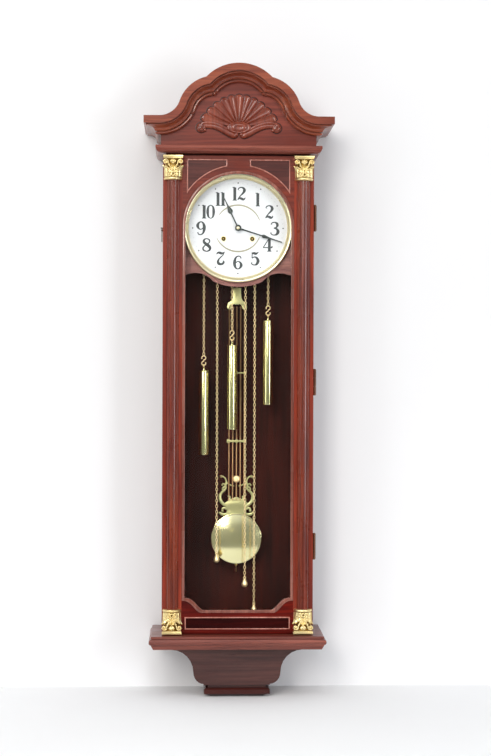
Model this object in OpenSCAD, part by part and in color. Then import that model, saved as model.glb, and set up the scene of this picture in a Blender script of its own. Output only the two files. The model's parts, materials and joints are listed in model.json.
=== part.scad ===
// Chiming wall clock with a glazed door, fluted columns, an arched crown and a lyre pendulum.
// X runs to the right, Y to the back and Z up. The wall is the plane Y = 0.
// The origin is the centre of the hanger's hole. Heights inside the modules count up from
// the underside of the foot, and hung() lowers everything to the hanger.

/* [Case] */
// Width of the case over its two sides
case_w = 300; // [290:2:312]
// Depth of the case from the wall to the back of the door
case_d = 118; // [116:1:130]
// Thickness of the case sides
side_t = 15; // [12:1:16]
// Thickness of the back board
back_t = 10; // [8:1:10]
// Thickness of the top and bottom boards
deck_t = 11; // [9:1:12]
// Height of the hanger above the underside of the foot
hanger_z = 1060; // [1055:1:1068]
// Radius of the hanger's hole
hanger_r = 5; // [4:0.5:6]
// Thickness of the hanger plate
hanger_t = 2; // [1.5:0.25:3]
// Half width of the hanger plate
hanger_half = 26; // [22:1:30]
// Half height of the hanger plate
hanger_rise = 15; // [13:1:18]

/* [Bracket and plinth] */
// Height of the foot moulding
foot_h = 18; // [14:1:20]
// Half width of the foot moulding
foot_half = 68; // [64:1:74]
// Height of the narrow neck above the foot
waist_h = 6; // [4:1:8]
// Height of the curved bracket
bracket_h = 80; // [76:1:88]
// Depth of the curved bracket
bracket_d = 122; // [112:1:128]
// Thickness of the bracket's boards
bracket_t = 10; // [8:1:12]
// Half width of the bracket's top flange
bracket_half = 141; // [138:1:146]
// Height of the bracket's belly
belly_h = 26; // [22:1:30]
// Width of the bracket's hollow
hollow_w = 46; // [42:1:48]
// Height of the plinth moulding
plinth_h = 27; // [24:1:30]
// Half width of the plinth moulding
plinth_half = 181.5; // [176:0.5:186]
// Depth of the plinth moulding
plinth_d = 176; // [172:1:182]

/* [Door] */
// Width of the door
door_w = 311; // [307:1:314]
// Height of the door
door_h = 983.5; // [970:0.5:990]
// Thickness of the door frame
door_t = 18; // [16:1:20]
// Half width of the door's opening
open_half = 115; // [112:0.5:116]
// Gap between the door and the case front
door_gap = 1.5; // [1.5:0.1:2]
// Gap between the door and the plinth below it
door_clear = 1.5; // [1:0.25:3]
// Gap between the door and the neck moulding above it
neck_gap = 4; // [2:0.5:6]
// Height of the bottom rail
rail_h = 42.5; // [40:0.5:46]
// Height of the curved corners of the opening
corner_h = 25; // [22:1:30]
// Width of the curved corners of the opening
corner_w = 40; // [32:1:44]
// Width of the lip round the opening
lip_w = 6; // [4:0.25:7]
// How far the lip stands in front of the frame
lip_out = 2; // [1:0.25:3]
// Thickness of the glass
glass_t = 3; // [2.5:0.25:3.5]
// How far the glass reaches under the frame
glass_lap = 4; // [3:0.5:5]
// Width of the beads round the inset panels
bead_w = 2.6; // [2:0.2:3.4]
// How far the beads stand in front of the frame
bead_out = 2; // [1:0.25:3]
// Half width of the panel under the opening
panel_half = 108.5; // [104:0.5:112]
// Distance of the spandrels' outer edges from the middle
spandrel_out = 106.5; // [104:0.5:109]
// Radius of the spandrels' arcs about the dial's centre
spandrel_r = 126; // [122:1:131]

/* [Columns] */
// Radius of the half-round columns
column_r = 12.6; // [11.8:0.1:13.4]
// Number of flutes on a column
flutes = 5; // [3:1:7]
// Radius of a flute
flute_r = 1.7; // [1.2:0.1:2]
// Height of a capital
capital_h = 50; // [46:1:54]
// Half width of a capital's slab
capital_half = 20.25; // [19:0.25:21]

/* [Crown] */
// Height of the neck moulding
neck_h = 15; // [13:1:18]
// Half width of the neck moulding
neck_half = 171; // [168:1:175]
// Depth of the neck moulding
neck_d = 163; // [161:1:170]
// Depth of the crown's face board
field_d = 142; // [138:1:146]
// Half width of the crown's face board
field_half = 160; // [157:0.5:162]
// Thickness of the crown's boards
field_t = 14; // [11:1:16]
// Height from the neck moulding to the flat ends of the crown
eave_h = 58; // [54:0.5:64]
// Radius of the middle arch
arch_r = 93; // [88:1:98]
// Height of the middle arch's centre above the flat ends
arch_up = 15.2; // [12:0.2:18]
// Radius of the shoulder arcs
shoulder_r = 76.5; // [74:0.5:79]
// Distance of the shoulder arcs' centres from the middle
shoulder_x = 49.5; // [47:0.5:52]
// Height of the shoulder arcs' centres above the flat ends
shoulder_up = 5; // [3:0.5:7]
// Distance of the hollow sweeps' centres from the middle
sweep_x = 163; // [160:0.5:166]
// How far the crown moulding stands out
cornice_out = 35; // [32:1:38]
// Height of the crown moulding
cornice_h = 35.5; // [34:0.5:38]
// Step from the crown moulding's edge down to the board behind it
crown_step = 0.5; // [0.5:0.5:3]
// Height of the flat band along the crown moulding's edge
fascia_h = 14.5; // [12:0.5:15.5]

/* [Shell] */
// Number of ribs on the carved shell
shell_ribs = 11; // [7:2:13]
// Length of the middle rib
shell_len = 67; // [60:1:70]
// How much longer the lowest ribs are
shell_more = 12; // [8:1:14]
// Angle of the lowest ribs from upright
shell_spread = 76; // [70:1:80]

/* [Dial] */
// Height of the dial's centre above the bottom of the door
dial_up = 837.5; // [833:0.5:842]
// Radius of the bezel
bezel_r = 113; // [110:0.5:115]
// Width of the bezel
bezel_w = 10.5; // [8.5:0.5:12]
// How far the bezel stands out
bezel_h = 9; // [7:0.5:10]
// Thickness of the dial plate
dial_t = 1.2; // [0.8:0.1:1.6]
// Thickness of the mask board
mask_t = 6; // [5:0.5:7]
// Distance from the wall to the mask's face
mask_d = 100; // [99:0.5:102]
// Radius of the mask's round lower edge
mask_r = 121.8; // [119:0.2:124]
// Length of the minute hand
minute_len = 96; // [88:1:98]
// Length of the hour hand
hour_len = 68; // [58:1:72]
// Minute hand's angle clockwise from 12
minute_angle = 107.8; // [0:0.1:360]
// Hour hand's angle clockwise from 12
hour_angle = 335; // [0:0.1:360]
// Distance of the winding holes from the middle
wind_x = 30; // [28:0.5:32]
// Drop of the winding holes below the dial's centre
wind_drop = 22; // [20:0.5:24]

/* [Movement] */
// Half width of the movement's plates
plate_half = 54; // [53:0.5:58]
// Height of the movement's plates
plate_h = 118; // [114:1:122]
// Thickness of the movement's plates
plate_t = 2; // [1.5:0.25:2.5]
// Distance from the wall to the front plate's face
plate_d = 92; // [91:0.5:92.5]
// Space between the plates
plate_space = 28; // [27:0.5:30]
// Radius of a spring barrel
barrel_r = 20; // [17:0.5:20.5]
// Radius of a winding arbor
arbor_r = 4; // [3:0.25:4.5]
// Running clearance round a turning arbor
running = 0.05; // [0.03:0.01:0.1]
// Radius of the chime rods
gong_r = 2; // [1.5:0.25:2.5]
// Length of the chime rods
gong_len = 190; // [160:5:200]

/* [Weights and chains] */
// Radius of a weight's shell
weight_r = 11.2; // [10:0.2:11.6]
// Length of a weight
weight_len = 177; // [165:1:185]
// Radius of the chain wheels
sheave_r = 14; // [13:0.25:14.5]
// Height of the chain wheels above the bottom of the door
sheave_up = 756; // [752:1:760]
// Distance from the wall to the chains
chain_d = 75; // [74:0.5:77]
// Width of a chain link
link_w = 4.6; // [3.8:0.2:5]
// Length of one step of the chain
link_step = 5.4; // [4.8:0.2:6]
// Length of a pull at a chain's free end
pull_len = 21; // [18:1:24]

/* [Pendulum] */
// Distance from the wall to the pendulum's middle
swing_d = 45; // [43:0.5:47]
// Height of the pendulum's pivot above the dial's centre
pivot_up = 35; // [33:0.5:37]
// Distance from the pivot to the bob's centre
bob_drop = 685; // [670:1:695]
// Radius of the bob
bob_r = 53; // [48:0.5:56]
// Half thickness of the bob
bob_t = 6.5; // [5:0.25:7]
// Radius of the rating nut under the bob
nut_r = 4.4; // [3.5:0.1:5]
// Height of the rating nut
nut_h = 4; // [3:0.5:5]
// How far the rating rod reaches below the bob
rating_len = 18; // [14:1:22]
// Spacing of the pendulum's rods
rod_step = 8; // [7.5:0.1:8.6]
// Radius of a pendulum rod
rod_r = 1.5; // [1.2:0.1:1.8]

/* [Hinges and latch] */
// Length of a hinge
hinge_len = 52; // [44:1:58]
// Distance between neighbouring hinges
hinge_step = 340; // [330:1:350]
// Radius of a hinge's knuckle
knuckle_r = 3.3; // [3:0.1:3.6]
// Radius of a hinge's pin
hinge_pin_r = 1.5; // [1.2:0.1:1.8]
// Height of the latch above the bottom of the door
latch_up = 832; // [826:1:838]

/* [Hidden] */
$fn = 48;
hair = 0.3;
case_half = case_w / 2;
inner_half = case_half - side_t;
bracket_z = foot_h + waist_h;
plinth_z = bracket_z + bracket_h;
case_z = plinth_z + plinth_h;
door_z = case_z + door_clear;
door_top = door_z + door_h;
neck_z = door_top + neck_gap;
field_z = neck_z + neck_h;
eave_z = field_z + eave_h;
door_half = door_w / 2;
door_back = -case_d - door_gap;
door_face = door_back - door_t;
dial_z = door_z + dial_up;
glass_y = door_back - 4.2 - glass_t;
rebate_y = glass_y - 0.3;
capital_x = door_half - capital_half - 0.5;
column_foot = door_z + 1 + capital_h;
column_head = door_top - 1 - capital_h;
sill_z = door_z + rail_h;
panel_foot = 8.5;
panel_head = 34.5;
spandrel_head = 7;
spandrel_end = 23;
post_r = 1.2;
dial_face = -mask_d - dial_t;
dial_r = bezel_r - bezel_w + 6;
hour_y = dial_face - 5;
minute_y = hour_y - 2.6;
hand_t = 0.8;
plate_z = dial_z - plate_h / 2 - 2;
front_plate_y = -plate_d;
back_plate_y = -plate_d + plate_t + plate_space;
barrel_h = 17;
barrel_y = -plate_d + plate_t + 6;
pivot_z = dial_z + pivot_up;
swing_y = -swing_d;
bob_back = swing_y - 2;
bob_z = pivot_z - bob_drop;
lyre_z = bob_z + bob_r;
rods_foot = lyre_z + 28;
rods_head = rods_foot + 417;
tie_low_z = rods_foot + 124;
tie_high_z = rods_foot + 268;
sheave_z = door_z + sheave_up;
chain_y = -chain_d;
// Middle of each chain wheel: strike side, time side and chime side
sheave_x = [-56, 3, 50.5];
// Side of each wheel that the weight hangs on
weight_side = [-1, -1, 1];
// Drop from each wheel to the top of its weight, and to the top of its pull
weight_drop = [214, 161, 109];
pull_drop = [596, 647, 702];
hook_len = 22;
stem_len = 9;
hinge_x = door_half + knuckle_r + 0.4;
hinge_y = -case_d - door_gap / 2;
leaf_t = 0.5;
hinge_mid = door_z + 518;
latch_z = door_z + latch_up;
latch_y = -case_d + 12;
latch_pin_r = 1.5;
latch_t = 2;
latch_out = door_half - case_half + 1;
eye_y = door_back - 8;
eye_r = 1.2;

// Places parts that are measured from the underside of the foot
module hung() {
    translate([0, 0, -hanger_z]) children();
}

// Extrudes an outline drawn in X and Z, from its front face backwards
module slab(front, thick) {
    translate([0, front + thick, 0]) rotate([90, 0, 0]) linear_extrude(thick) children();
}

// Puts one copy on each side of the middle
module pair() {
    children();
    mirror([1, 0, 0]) children();
}

// Box between two corners
module span(low, high) {
    translate(low) cube(high - low);
}

// Closed outline from the points of its right half, listed from bottom to top
function both_sides(line) =
    concat(line, [for (i = [len(line) - 1:-1:0]) [-line[i][0], line[i][1]]]);

// Points along an arc from one angle to another
function arc(centre, r, from, to, steps = 16) =
    [for (i = [0:steps]) let (a = from + (to - from) * i / steps) centre + r * [cos(a), sin(a)]];

// Rod along Y from its front end backwards
module rod_y(x, front, z, r, len) {
    translate([x, front + len, z]) rotate([90, 0, 0]) cylinder(r = r, h = len);
}

// Board whose front and side edges have one moulded profile, a list of [inset, height]
module moulded_board(half, depth, profile) {
    top = profile[len(profile) - 1][1];
    front = concat([[0, 0]], [for (p = profile) [-depth + p[0], p[1]]], [[0, top]]);
    sides = concat([for (p = profile) [half - p[0], p[1]]],
                   [for (i = [len(profile) - 1:-1:0]) [-half + profile[i][0], profile[i][1]]]);
    intersection() {
        rotate([90, 0, 90]) linear_extrude(2 * half, center = true) polygon(front);
        translate([0, 1, 0]) rotate([90, 0, 0]) linear_extrude(depth + 2) polygon(sides);
    }
}

// Half-round edge between two heights, as steps of a profile
function round_edge(low, high, out, steps = 6) =
    [for (i = [0:steps]) let (a = 180 * i / steps)
        [out * (1 - sin(a)), low + (high - low) * (1 - cos(a)) / 2]];

// Case

module back_board() {
    color("#3a1712") difference() {
        span([-inner_half, -back_t, case_z], [inner_half, 0, neck_z]);
        span([-hanger_half, -hanger_t, hanger_z - hanger_rise],
             [hanger_half, 1, hanger_z + hanger_rise]);
        rod_y(0, -back_t - 1, hanger_z, hanger_r + 3, back_t + 2);
    }
}

module case_side() {
    span([inner_half, -case_d, case_z], [case_half, 0, neck_z]);
}

module left_side() {
    color("#5a2016") {
        mirror([1, 0, 0]) case_side();
        // Stud that the latch hook hangs from
        translate([-case_half, latch_y, latch_z]) rotate([0, -90, 0]) {
            cylinder(r = latch_pin_r + 1.4, h = latch_out);
            cylinder(r = latch_pin_r, h = latch_out + latch_t + 1);
        }
    }
}

module right_side() {
    color("#5a2016") case_side();
}

module deck(z) {
    color("#4a1b14") span([-inner_half, -case_d, z], [inner_half, -back_t, z + deck_t]);
}

module top_board() {
    deck(neck_z - deck_t);
}

module bottom_board() {
    deck(case_z);
}

module hanger_plate() {
    color("#b8b8b0") difference() {
        span([-hanger_half, -hanger_t, hanger_z - hanger_rise],
             [hanger_half, 0, hanger_z + hanger_rise]);
        rod_y(0, -hanger_t - 1, hanger_z, hanger_r, hanger_t + 2);
    }
}

// Plinth, bracket and foot

module plinth() {
    nose = [plinth_h * 0.36, plinth_h * 0.8];
    steps = concat([[9, 0], [8.5, 1], [4.5, nose[0] - 1], [4.5, nose[0]]],
                   round_edge(nose[0], nose[1], 4.5),
                   [[4.5, nose[1]], [6, nose[1]], [6, nose[1] + 1.2], [4.5, nose[1] + 1.2],
                    [4.5, plinth_h - 1], [5.5, plinth_h]]);
    color("#46201a") translate([0, 0, plinth_z]) moulded_board(plinth_half, plinth_d, steps);
}

// Right half of the bracket's outline: a small belly, a tall hollow and a flange
hollow_h = bracket_h - belly_h - 7;
hollow_c = [bracket_half - 5, plinth_z - 7 - hollow_h];
belly_w = hollow_c[0] - hollow_w - foot_half;
bracket_line = concat(
    [[foot_half, bracket_z]],
    [for (a = [-90:15:-15]) [foot_half + belly_w * cos(a), hollow_c[1] + (belly_h - 2) * sin(a)]],
    [for (a = [180:-15:90]) hollow_c + [hollow_w * cos(a), hollow_h * sin(a)]],
    [[bracket_half, plinth_z - 4], [bracket_half, plinth_z]]);

module bracket_front() {
    color("#4a231c") slab(-bracket_d, bracket_t) polygon(both_sides(bracket_line));
}

module bracket_sides() {
    color("#4a231c") slab(-bracket_d + bracket_t, bracket_d - bracket_t) difference() {
        polygon(both_sides(bracket_line));
        polygon(both_sides(concat([[foot_half, bracket_z - 1], [foot_half, bracket_z + bracket_t]],
            [for (p = bracket_line) p + bracket_t * [-1, 1]])));
    }
}

module bracket_waist() {
    color("#2c120e") span([-foot_half + 8, -bracket_d + 6, foot_h], [foot_half - 8, 0, bracket_z]);
}

module foot() {
    steps = [[14, 0], [10, 2.2], [5, 4.4], [3, 5.4], [0, 6], [0, foot_h - 3], [3, foot_h]];
    color("#46201a") moulded_board(foot_half, bracket_d + 4, steps);
}

// Crown

module neck_moulding() {
    edge = neck_h - 6;
    steps = concat([[9, 0], [9, 1]],
                   [for (a = [0:15:90]) [1 + 7 * (1 - sin(a)), 1 + (edge - 1) * (1 - cos(a))]],
                   [[0, edge], [0, neck_h - 1.5], [1.2, neck_h]]);
    color("#5f2a20") translate([0, 0, neck_z]) moulded_board(neck_half, neck_d, steps);
}

arch_c = [0, eave_z + arch_up];
shoulder_c = [shoulder_x, eave_z + shoulder_up];
// The sweep touches the shoulder and runs out level at the flat end
sweep_r = (pow(sweep_x - shoulder_x, 2) + pow(shoulder_up, 2) - pow(shoulder_r, 2))
    / (2 * (shoulder_r + shoulder_up));
sweep_c = [sweep_x, eave_z + sweep_r];

// Profile of the crown moulding: height down from its edge, and how far it stands out
cove_top = fascia_h + 3.2;
cove_foot = cornice_h - 7;
cornice = concat(
    [[fascia_h, cornice_out], [fascia_h + 1, cornice_out - 1], [fascia_h + 1, cornice_out - 7],
     [cove_top, cornice_out - 7], [cove_top, cornice_out - 4]],
    [for (a = [0:15:90]) [cove_foot - (cove_foot - cove_top - 1) * cos(a),
        cornice_out - 5 - (cornice_out - 17) * sin(a)]],
    [[cove_foot + 0.6, 6.5], [cove_foot + 2.4, 6.5], [cove_foot + 2.4, 9.5],
     [cove_foot + 3.4, 10.8], [cove_foot + 5.2, 11], [cove_foot + 6.4, 9.6], [cornice_h, 7],
     [cornice_h, 0]]);

// Outer crossing point of the middle arch and a shoulder, both drawn in by an inset
function cusp(inset) =
    let (a = arch_r - inset, b = shoulder_r - inset, d = shoulder_c - arch_c, l = norm(d),
         k = (a * a - b * b + l * l) / (2 * l), e = d / l)
    arch_c + e * k + [-e[1], e[0]] * sqrt(a * a - k * k);

function bearing(from, to) = atan2(to[1] - from[1], to[0] - from[0]);

// Right half of the crown's edge from its flat end up to the top, drawn in by an inset
function crown_line(inset) =
    let (bend = bearing(shoulder_c, sweep_c), tip = cusp(inset))
    concat(arc(sweep_c, sweep_r + inset, 270, 180 + bend, 24),
           arc(shoulder_c, shoulder_r - inset, bend, bearing(shoulder_c, tip), 24),
           arc(arch_c, arch_r - inset, bearing(arch_c, tip), 90, 24));

// Ring of the moulding's hollow side round an arc: sense -1 lies inside it, 1 outside it
module cornice_turn(centre, r, sense) {
    last = len(cornice) - 1;
    translate([centre[0], -field_d, centre[1]]) rotate([90, 0, 0]) rotate_extrude($fn = 96)
        polygon(concat([[0, -1], [r + sense * cornice_h, -1]],
            [for (i = [last:-1:0]) [r + sense * cornice[i][0], cornice[i][1]]],
            [[r + sense * fascia_h, cornice_out + 1], [0, cornice_out + 1]]));
}

module crown_moulding() {
    bottom = eave_z - cornice_h;
    half = field_half + cornice_out;
    last = len(cornice) - 1;
    color("#8c3c26") difference() {
        slab(-field_d - cornice_out, cornice_out)
            polygon(both_sides(concat([[half, bottom], [half, eave_z]], crown_line(0))));
        cornice_turn(arch_c, arch_r, -1);
        pair() cornice_turn(shoulder_c, shoulder_r, -1);
        pair() difference() {
            slab(-field_d - cornice_out - 1, cornice_out + 2) polygon([[-1, bottom - 1],
                [-1, shoulder_c[1]], shoulder_c, sweep_c, [sweep_c[0], bottom - 1]]);
            cornice_turn(sweep_c, sweep_r, 1);
        }
        // Flat ends, mitred with the returns
        pair() translate([sweep_x - 0.1, -field_d, eave_z]) rotate([90, 0, 90])
            linear_extrude(half) polygon(concat(
                [[1, -cornice_h - 1], [1, -cornice_h]],
                [for (i = [last:-1:0]) [-cornice[i][1], -cornice[i][0]]],
                [[-cornice_out - 1, -fascia_h], [-cornice_out - 1, -cornice_h - 1]]));
        pair() slab(-field_d - cornice_out - 1, cornice_out + 2) polygon(concat(
            [for (i = [0:last]) [field_half + cornice[i][1], eave_z - cornice[i][0]]],
            [[field_half, bottom - 1], [half + 1, bottom - 1], [half + 1, eave_z - fascia_h]]));
    }
}

module crown_returns() {
    color("#7a3a2c") pair() slab(-field_d, field_d) polygon(concat(
        [[field_half, eave_z], [field_half + cornice_out, eave_z]],
        [for (p = cornice) [field_half + p[1], eave_z - p[0]]]));
}

module crown_field() {
    outer = max(sweep_x, field_half) + 1;
    color("#7a3428") slab(-field_d, field_t) intersection() {
        polygon(both_sides(concat([[outer, field_z], [outer, eave_z - crown_step]],
            crown_line(crown_step))));
        translate([-field_half, field_z]) square([2 * field_half, 2 * eave_h + arch_r]);
    }
}

module crown_sides() {
    color("#5f2a20") pair()
        span([field_half - field_t, -field_d + field_t, field_z], [field_half, 0, eave_z - 1]);
}

// Carved shell

shell_c = [0, field_z + 41];

function rib_angle(i) = -shell_spread + 2 * shell_spread * i / (shell_ribs - 1);
function rib_len(a) = shell_len + shell_more * pow(abs(a) / shell_spread, 3);

module rib(a) {
    tip_r = 5.4;
    far = rib_len(a) - tip_r;
    rotate([0, a, 0]) {
        cylinder(r1 = 1.8, r2 = tip_r, h = far);
        translate([0, 0, far]) sphere(tip_r);
    }
}

module shell_carving() {
    color("#7c3a2e") translate([shell_c[0], -field_d, shell_c[1]]) intersection() {
        union() {
            for (i = [0:shell_ribs - 1]) rib(rib_angle(i));
            translate([0, 0, -9.5]) rotate([90, 0, 0]) cylinder(r = 17, h = 4.5);
            translate([0, -2, -4]) sphere(8);
            for (s = [-1, 1]) {
                translate([s * 78, 0, -1]) rotate([90, 0, 0]) cylinder(r = 8, h = 4);
                translate([s * 78, 0, -1]) sphere(5.5);
                translate([0, 0, -8]) rotate([0, s * 83, 0]) cylinder(r1 = 6, r2 = 5, h = 76);
            }
        }
        span([-120, -20, -60], [120, 0, 120]);
    }
}

// Door

function corner_curve(inset) = [for (i = [0:10]) let (t = i / 10)
    [open_half - inset - corner_w * t,
     sill_z + inset + corner_h / 2 * (1 + cos(180 * pow(t, 1.4)))]];

// The opening in the door, drawn in by an inset
module opening(inset) {
    difference() {
        union() {
            translate([0, dial_z]) circle(open_half - inset, $fn = 96);
            translate([-open_half + inset, sill_z + inset])
                square([2 * (open_half - inset), dial_z - sill_z - inset]);
        }
        for (s = [-1, 1]) polygon(concat(
            [[s * (open_half + 1), sill_z], [s * (open_half + 1), sill_z + corner_h + inset]],
            [for (p = corner_curve(inset)) [s * p[0], p[1]]],
            [[s * (open_half - inset - corner_w), sill_z]]));
    }
}

// Space for the glass and its strips, open to the back of the door
module glass_space(extra) {
    span([-open_half - glass_lap - extra, rebate_y, sill_z - glass_lap - extra],
         [open_half + glass_lap + extra, door_back + 1, dial_z + open_half + glass_lap + extra]);
}

module stile() {
    difference() {
        span([open_half, door_face, door_z], [door_half, door_back, door_top]);
        glass_space(hair);
    }
}

module door_left_stile() {
    color("#8a3a22") mirror([1, 0, 0]) stile();
}

module door_right_stile() {
    color("#8a3a22") stile();
}

module door_top_rail() {
    color("#7c3020") difference() {
        slab(door_face, door_t) difference() {
            translate([-open_half, dial_z + 3]) square([2 * open_half, door_top - dial_z - 3]);
            translate([0, dial_z]) circle(open_half, $fn = 96);
        }
        glass_space(hair);
    }
}

module door_bottom_rail() {
    color("#7c3020") difference() {
        slab(door_face, door_t) polygon(both_sides(concat([[open_half, door_z]], corner_curve(0))));
        glass_space(hair);
    }
}

module door_lip() {
    color("#a8664e") slab(door_face - lip_out, rebate_y - door_face + lip_out) difference() {
        opening(0);
        opening(lip_w);
    }
}

module door_glass() {
    color("#d8e4e8", 0.25) span(
        [-open_half - glass_lap, glass_y, sill_z - glass_lap],
        [open_half + glass_lap, glass_y + glass_t, dial_z + open_half + glass_lap]);
}

module glazing_strips() {
    back = door_back - 0.2;
    low = sill_z - glass_lap;
    high = dial_z + open_half + glass_lap;
    color("#5a2016") {
        pair() span([open_half - 3, glass_y + glass_t, low], [open_half + glass_lap, back, high]);
        span([-open_half + 3, glass_y + glass_t, low], [open_half - 3, back, low + 7]);
        span([-open_half + 3, glass_y + glass_t, high - 7], [open_half - 3, back, high]);
    }
}

module spandrel(inset) {
    left = -spandrel_out;
    difference() {
        translate([left + inset, dial_z])
            square([-spandrel_end - left - 2 * inset, door_top - spandrel_head - dial_z - inset]);
        translate([0, dial_z]) circle(spandrel_r + inset, $fn = 96);
    }
}

module base_panel(inset) {
    translate([-panel_half + inset, door_z + panel_foot + inset])
        square([2 * (panel_half - inset), panel_head - panel_foot - 2 * inset]);
}

module panel_beads() {
    color("#b06a58") slab(door_face - bead_out, bead_out) difference() {
        union() {
            pair() spandrel(0);
            base_panel(0);
        }
        pair() spandrel(bead_w);
        base_panel(bead_w);
    }
}

module column() {
    color("#7a3424") translate([capital_x, door_face, column_foot])
        linear_extrude(column_head - column_foot) difference() {
            circle(column_r);
            translate([-2 * column_r, 0]) square(4 * column_r);
            for (i = [0:flutes - 1]) {
                a = -90 + 150 * ((i + 0.5) / flutes - 0.5);
                translate(column_r * [cos(a), sin(a)]) circle(flute_r);
            }
        }
}

module left_column() {
    mirror([1, 0, 0]) column();
}

module right_column() {
    column();
}

// Capital standing on z = 0 with its back on y = 0: a collar, a bell with two tiers and a slab
module capital() {
    slab_h = 6.5;
    collar_h = 6.5;
    bell_r = column_r + 1;
    bell_top = capital_h - slab_h;
    tier = (bell_top - collar_h) / 3;
    intersection() {
        union() {
            rotate_extrude() polygon(concat(
                [[0, 0], [capital_half - 1, 0], [capital_half - 1, collar_h], [bell_r, collar_h]],
                [for (i = [1:2]) each [[bell_r + 0.8 * i, collar_h + (i - 0.3) * tier],
                    [bell_r + 2.4 + i, collar_h + i * tier],
                    [bell_r + i, collar_h + (i + 0.15) * tier]]],
                [[bell_r + 5, bell_top], [0, bell_top]]));
            span([-capital_half, -capital_half, bell_top], [capital_half, 1, capital_h]);
        }
        span([-capital_half - 1, -capital_half - 1, 0], [capital_half + 1, 0, capital_h]);
    }
}

module upper_capitals() {
    color("#d8b45a") pair() translate([capital_x, door_face, column_head]) capital();
}

module lower_capitals() {
    color("#d8b45a") pair() translate([capital_x, door_face, column_foot])
        mirror([0, 0, 1]) capital();
}

// Hinges and latch

// Knuckles numbered from the bottom: the door has the middle one, the case the outer two
module knuckle(i) {
    third = hinge_len / 3;
    translate([hinge_x, hinge_y, i * third + 0.2 - hinge_len / 2]) difference() {
        cylinder(r = knuckle_r, h = third - 0.4);
        translate([0, 0, -1]) cylinder(r = hinge_pin_r + (i == 1 ? running : 0), h = third + 2);
    }
}

module at_hinges() {
    for (i = [-1:1]) translate([0, 0, hinge_mid + i * hinge_step]) children();
}

module door_hinge_leaves() {
    third = hinge_len / 3;
    color("#8a6a3a") at_hinges() {
        knuckle(1);
        difference() {
            span([door_half - 14, door_back, -third / 2 + 0.2],
                 [hinge_x, door_back + leaf_t, third / 2 - 0.2]);
            translate([hinge_x, hinge_y, -third]) cylinder(r = knuckle_r - 0.6, h = 2 * third);
        }
    }
}

module case_hinges() {
    third = hinge_len / 3;
    color("#8a6a3a") at_hinges() for (i = [0, 2]) {
        knuckle(i);
        difference() {
            span([case_half - 12, -case_d - leaf_t, (i - 1.5) * third + 0.2],
                 [hinge_x, -case_d, (i - 0.5) * third - 0.2]);
            translate([hinge_x, hinge_y, -hinge_len]) cylinder(r = knuckle_r - 0.6, h = 2 * hinge_len);
        }
    }
    // Pins with their heads, held by the outer knuckles
    color("#7a5c30") at_hinges() translate([hinge_x, hinge_y, -hinge_len / 2 - 1.5]) {
        cylinder(r = hinge_pin_r, h = hinge_len + 3);
        cylinder(r = hinge_pin_r + 0.9, h = 1.7);
        translate([0, 0, hinge_len + 1.3]) cylinder(r = hinge_pin_r + 0.9, h = 1.7);
    }
}

// Hook hanging from its stud, with its lip to the front; it swings up under the eye
module latch_hook() {
    half = 1.2;
    reach = latch_y - eye_y;
    tip = reach + eye_r + hair + 1.5;
    outside = latch_out + 0.2;
    color("#4a4038") translate([-case_half - outside, latch_y, latch_z]) rotate([0, -90, 0])
        linear_extrude(latch_t) difference() {
            union() {
                circle(latch_pin_r + 1.9);
                translate([-tip, -half]) square([tip, 2 * half]);
                translate([-tip, -half - 2 * eye_r - 1]) square([1.5, 2 * half + 2 * eye_r + 1]);
            }
            circle(latch_pin_r + running);
        }
}

module latch_eye() {
    color("#4a4038") translate([-door_half, eye_y, latch_z + 1.2 + eye_r + hair])
        rotate([0, -90, 0]) cylinder(r = eye_r, h = case_half + latch_out + latch_t + 1.5 - door_half);
}

// Dial and hands

module mask_board() {
    ear_z = dial_z - 97;
    ear_x = 87.5;
    ear_r = 46;
    color("#8a5a50") slab(-mask_d, mask_t) difference() {
        union() {
            translate([-inner_half + 0.3, ear_z]) square([2 * inner_half - 0.6,
                neck_z - deck_t - ear_z]);
            translate([0, dial_z]) circle(mask_r, $fn = 96);
        }
        for (s = [-1, 1]) translate([s * ear_x, ear_z + 4 - ear_r]) circle(ear_r, $fn = 96);
        translate([0, dial_z]) circle(dial_r - 8, $fn = 96);
        translate([-inner_half, neck_z - deck_t]) square([2 * inner_half, 60]);
    }
}

module dial() {
    color("#f4f4f2") slab(dial_face, dial_t) difference() {
        translate([0, dial_z]) circle(dial_r, $fn = 96);
        translate([0, dial_z]) circle(5);
        for (s = [-1, 1]) translate([s * wind_x, dial_z - wind_drop]) circle(5.4);
    }
}

module bezel() {
    in = bezel_r - bezel_w;
    color("#d8cc9a") translate([0, dial_face, dial_z]) rotate([90, 0, 0]) rotate_extrude($fn = 96)
        polygon(concat([[in, 0], [in, 3]],
            [for (a = [165:-15:15]) [in + bezel_w / 2 + (bezel_w / 2 - 0.6) * cos(a),
                3 + (bezel_h - 3) * sin(a)]],
            [[bezel_r, 2], [bezel_r, -dial_t], [dial_r, -dial_t], [dial_r, 0]]));
}

module winding_bushes() {
    color("#c8a85a") pair() translate([wind_x, -mask_d, dial_z - wind_drop])
        rotate([90, 0, 0]) difference() {
            union() {
                translate([0, 0, 0.2]) cylinder(r = 5.2, h = dial_t - 0.2);
                translate([0, 0, dial_t]) cylinder(r = 6.6, h = 0.8);
            }
            translate([0, 0, -1]) cylinder(r = arbor_r + 0.6, h = 6);
        }
}

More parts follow.
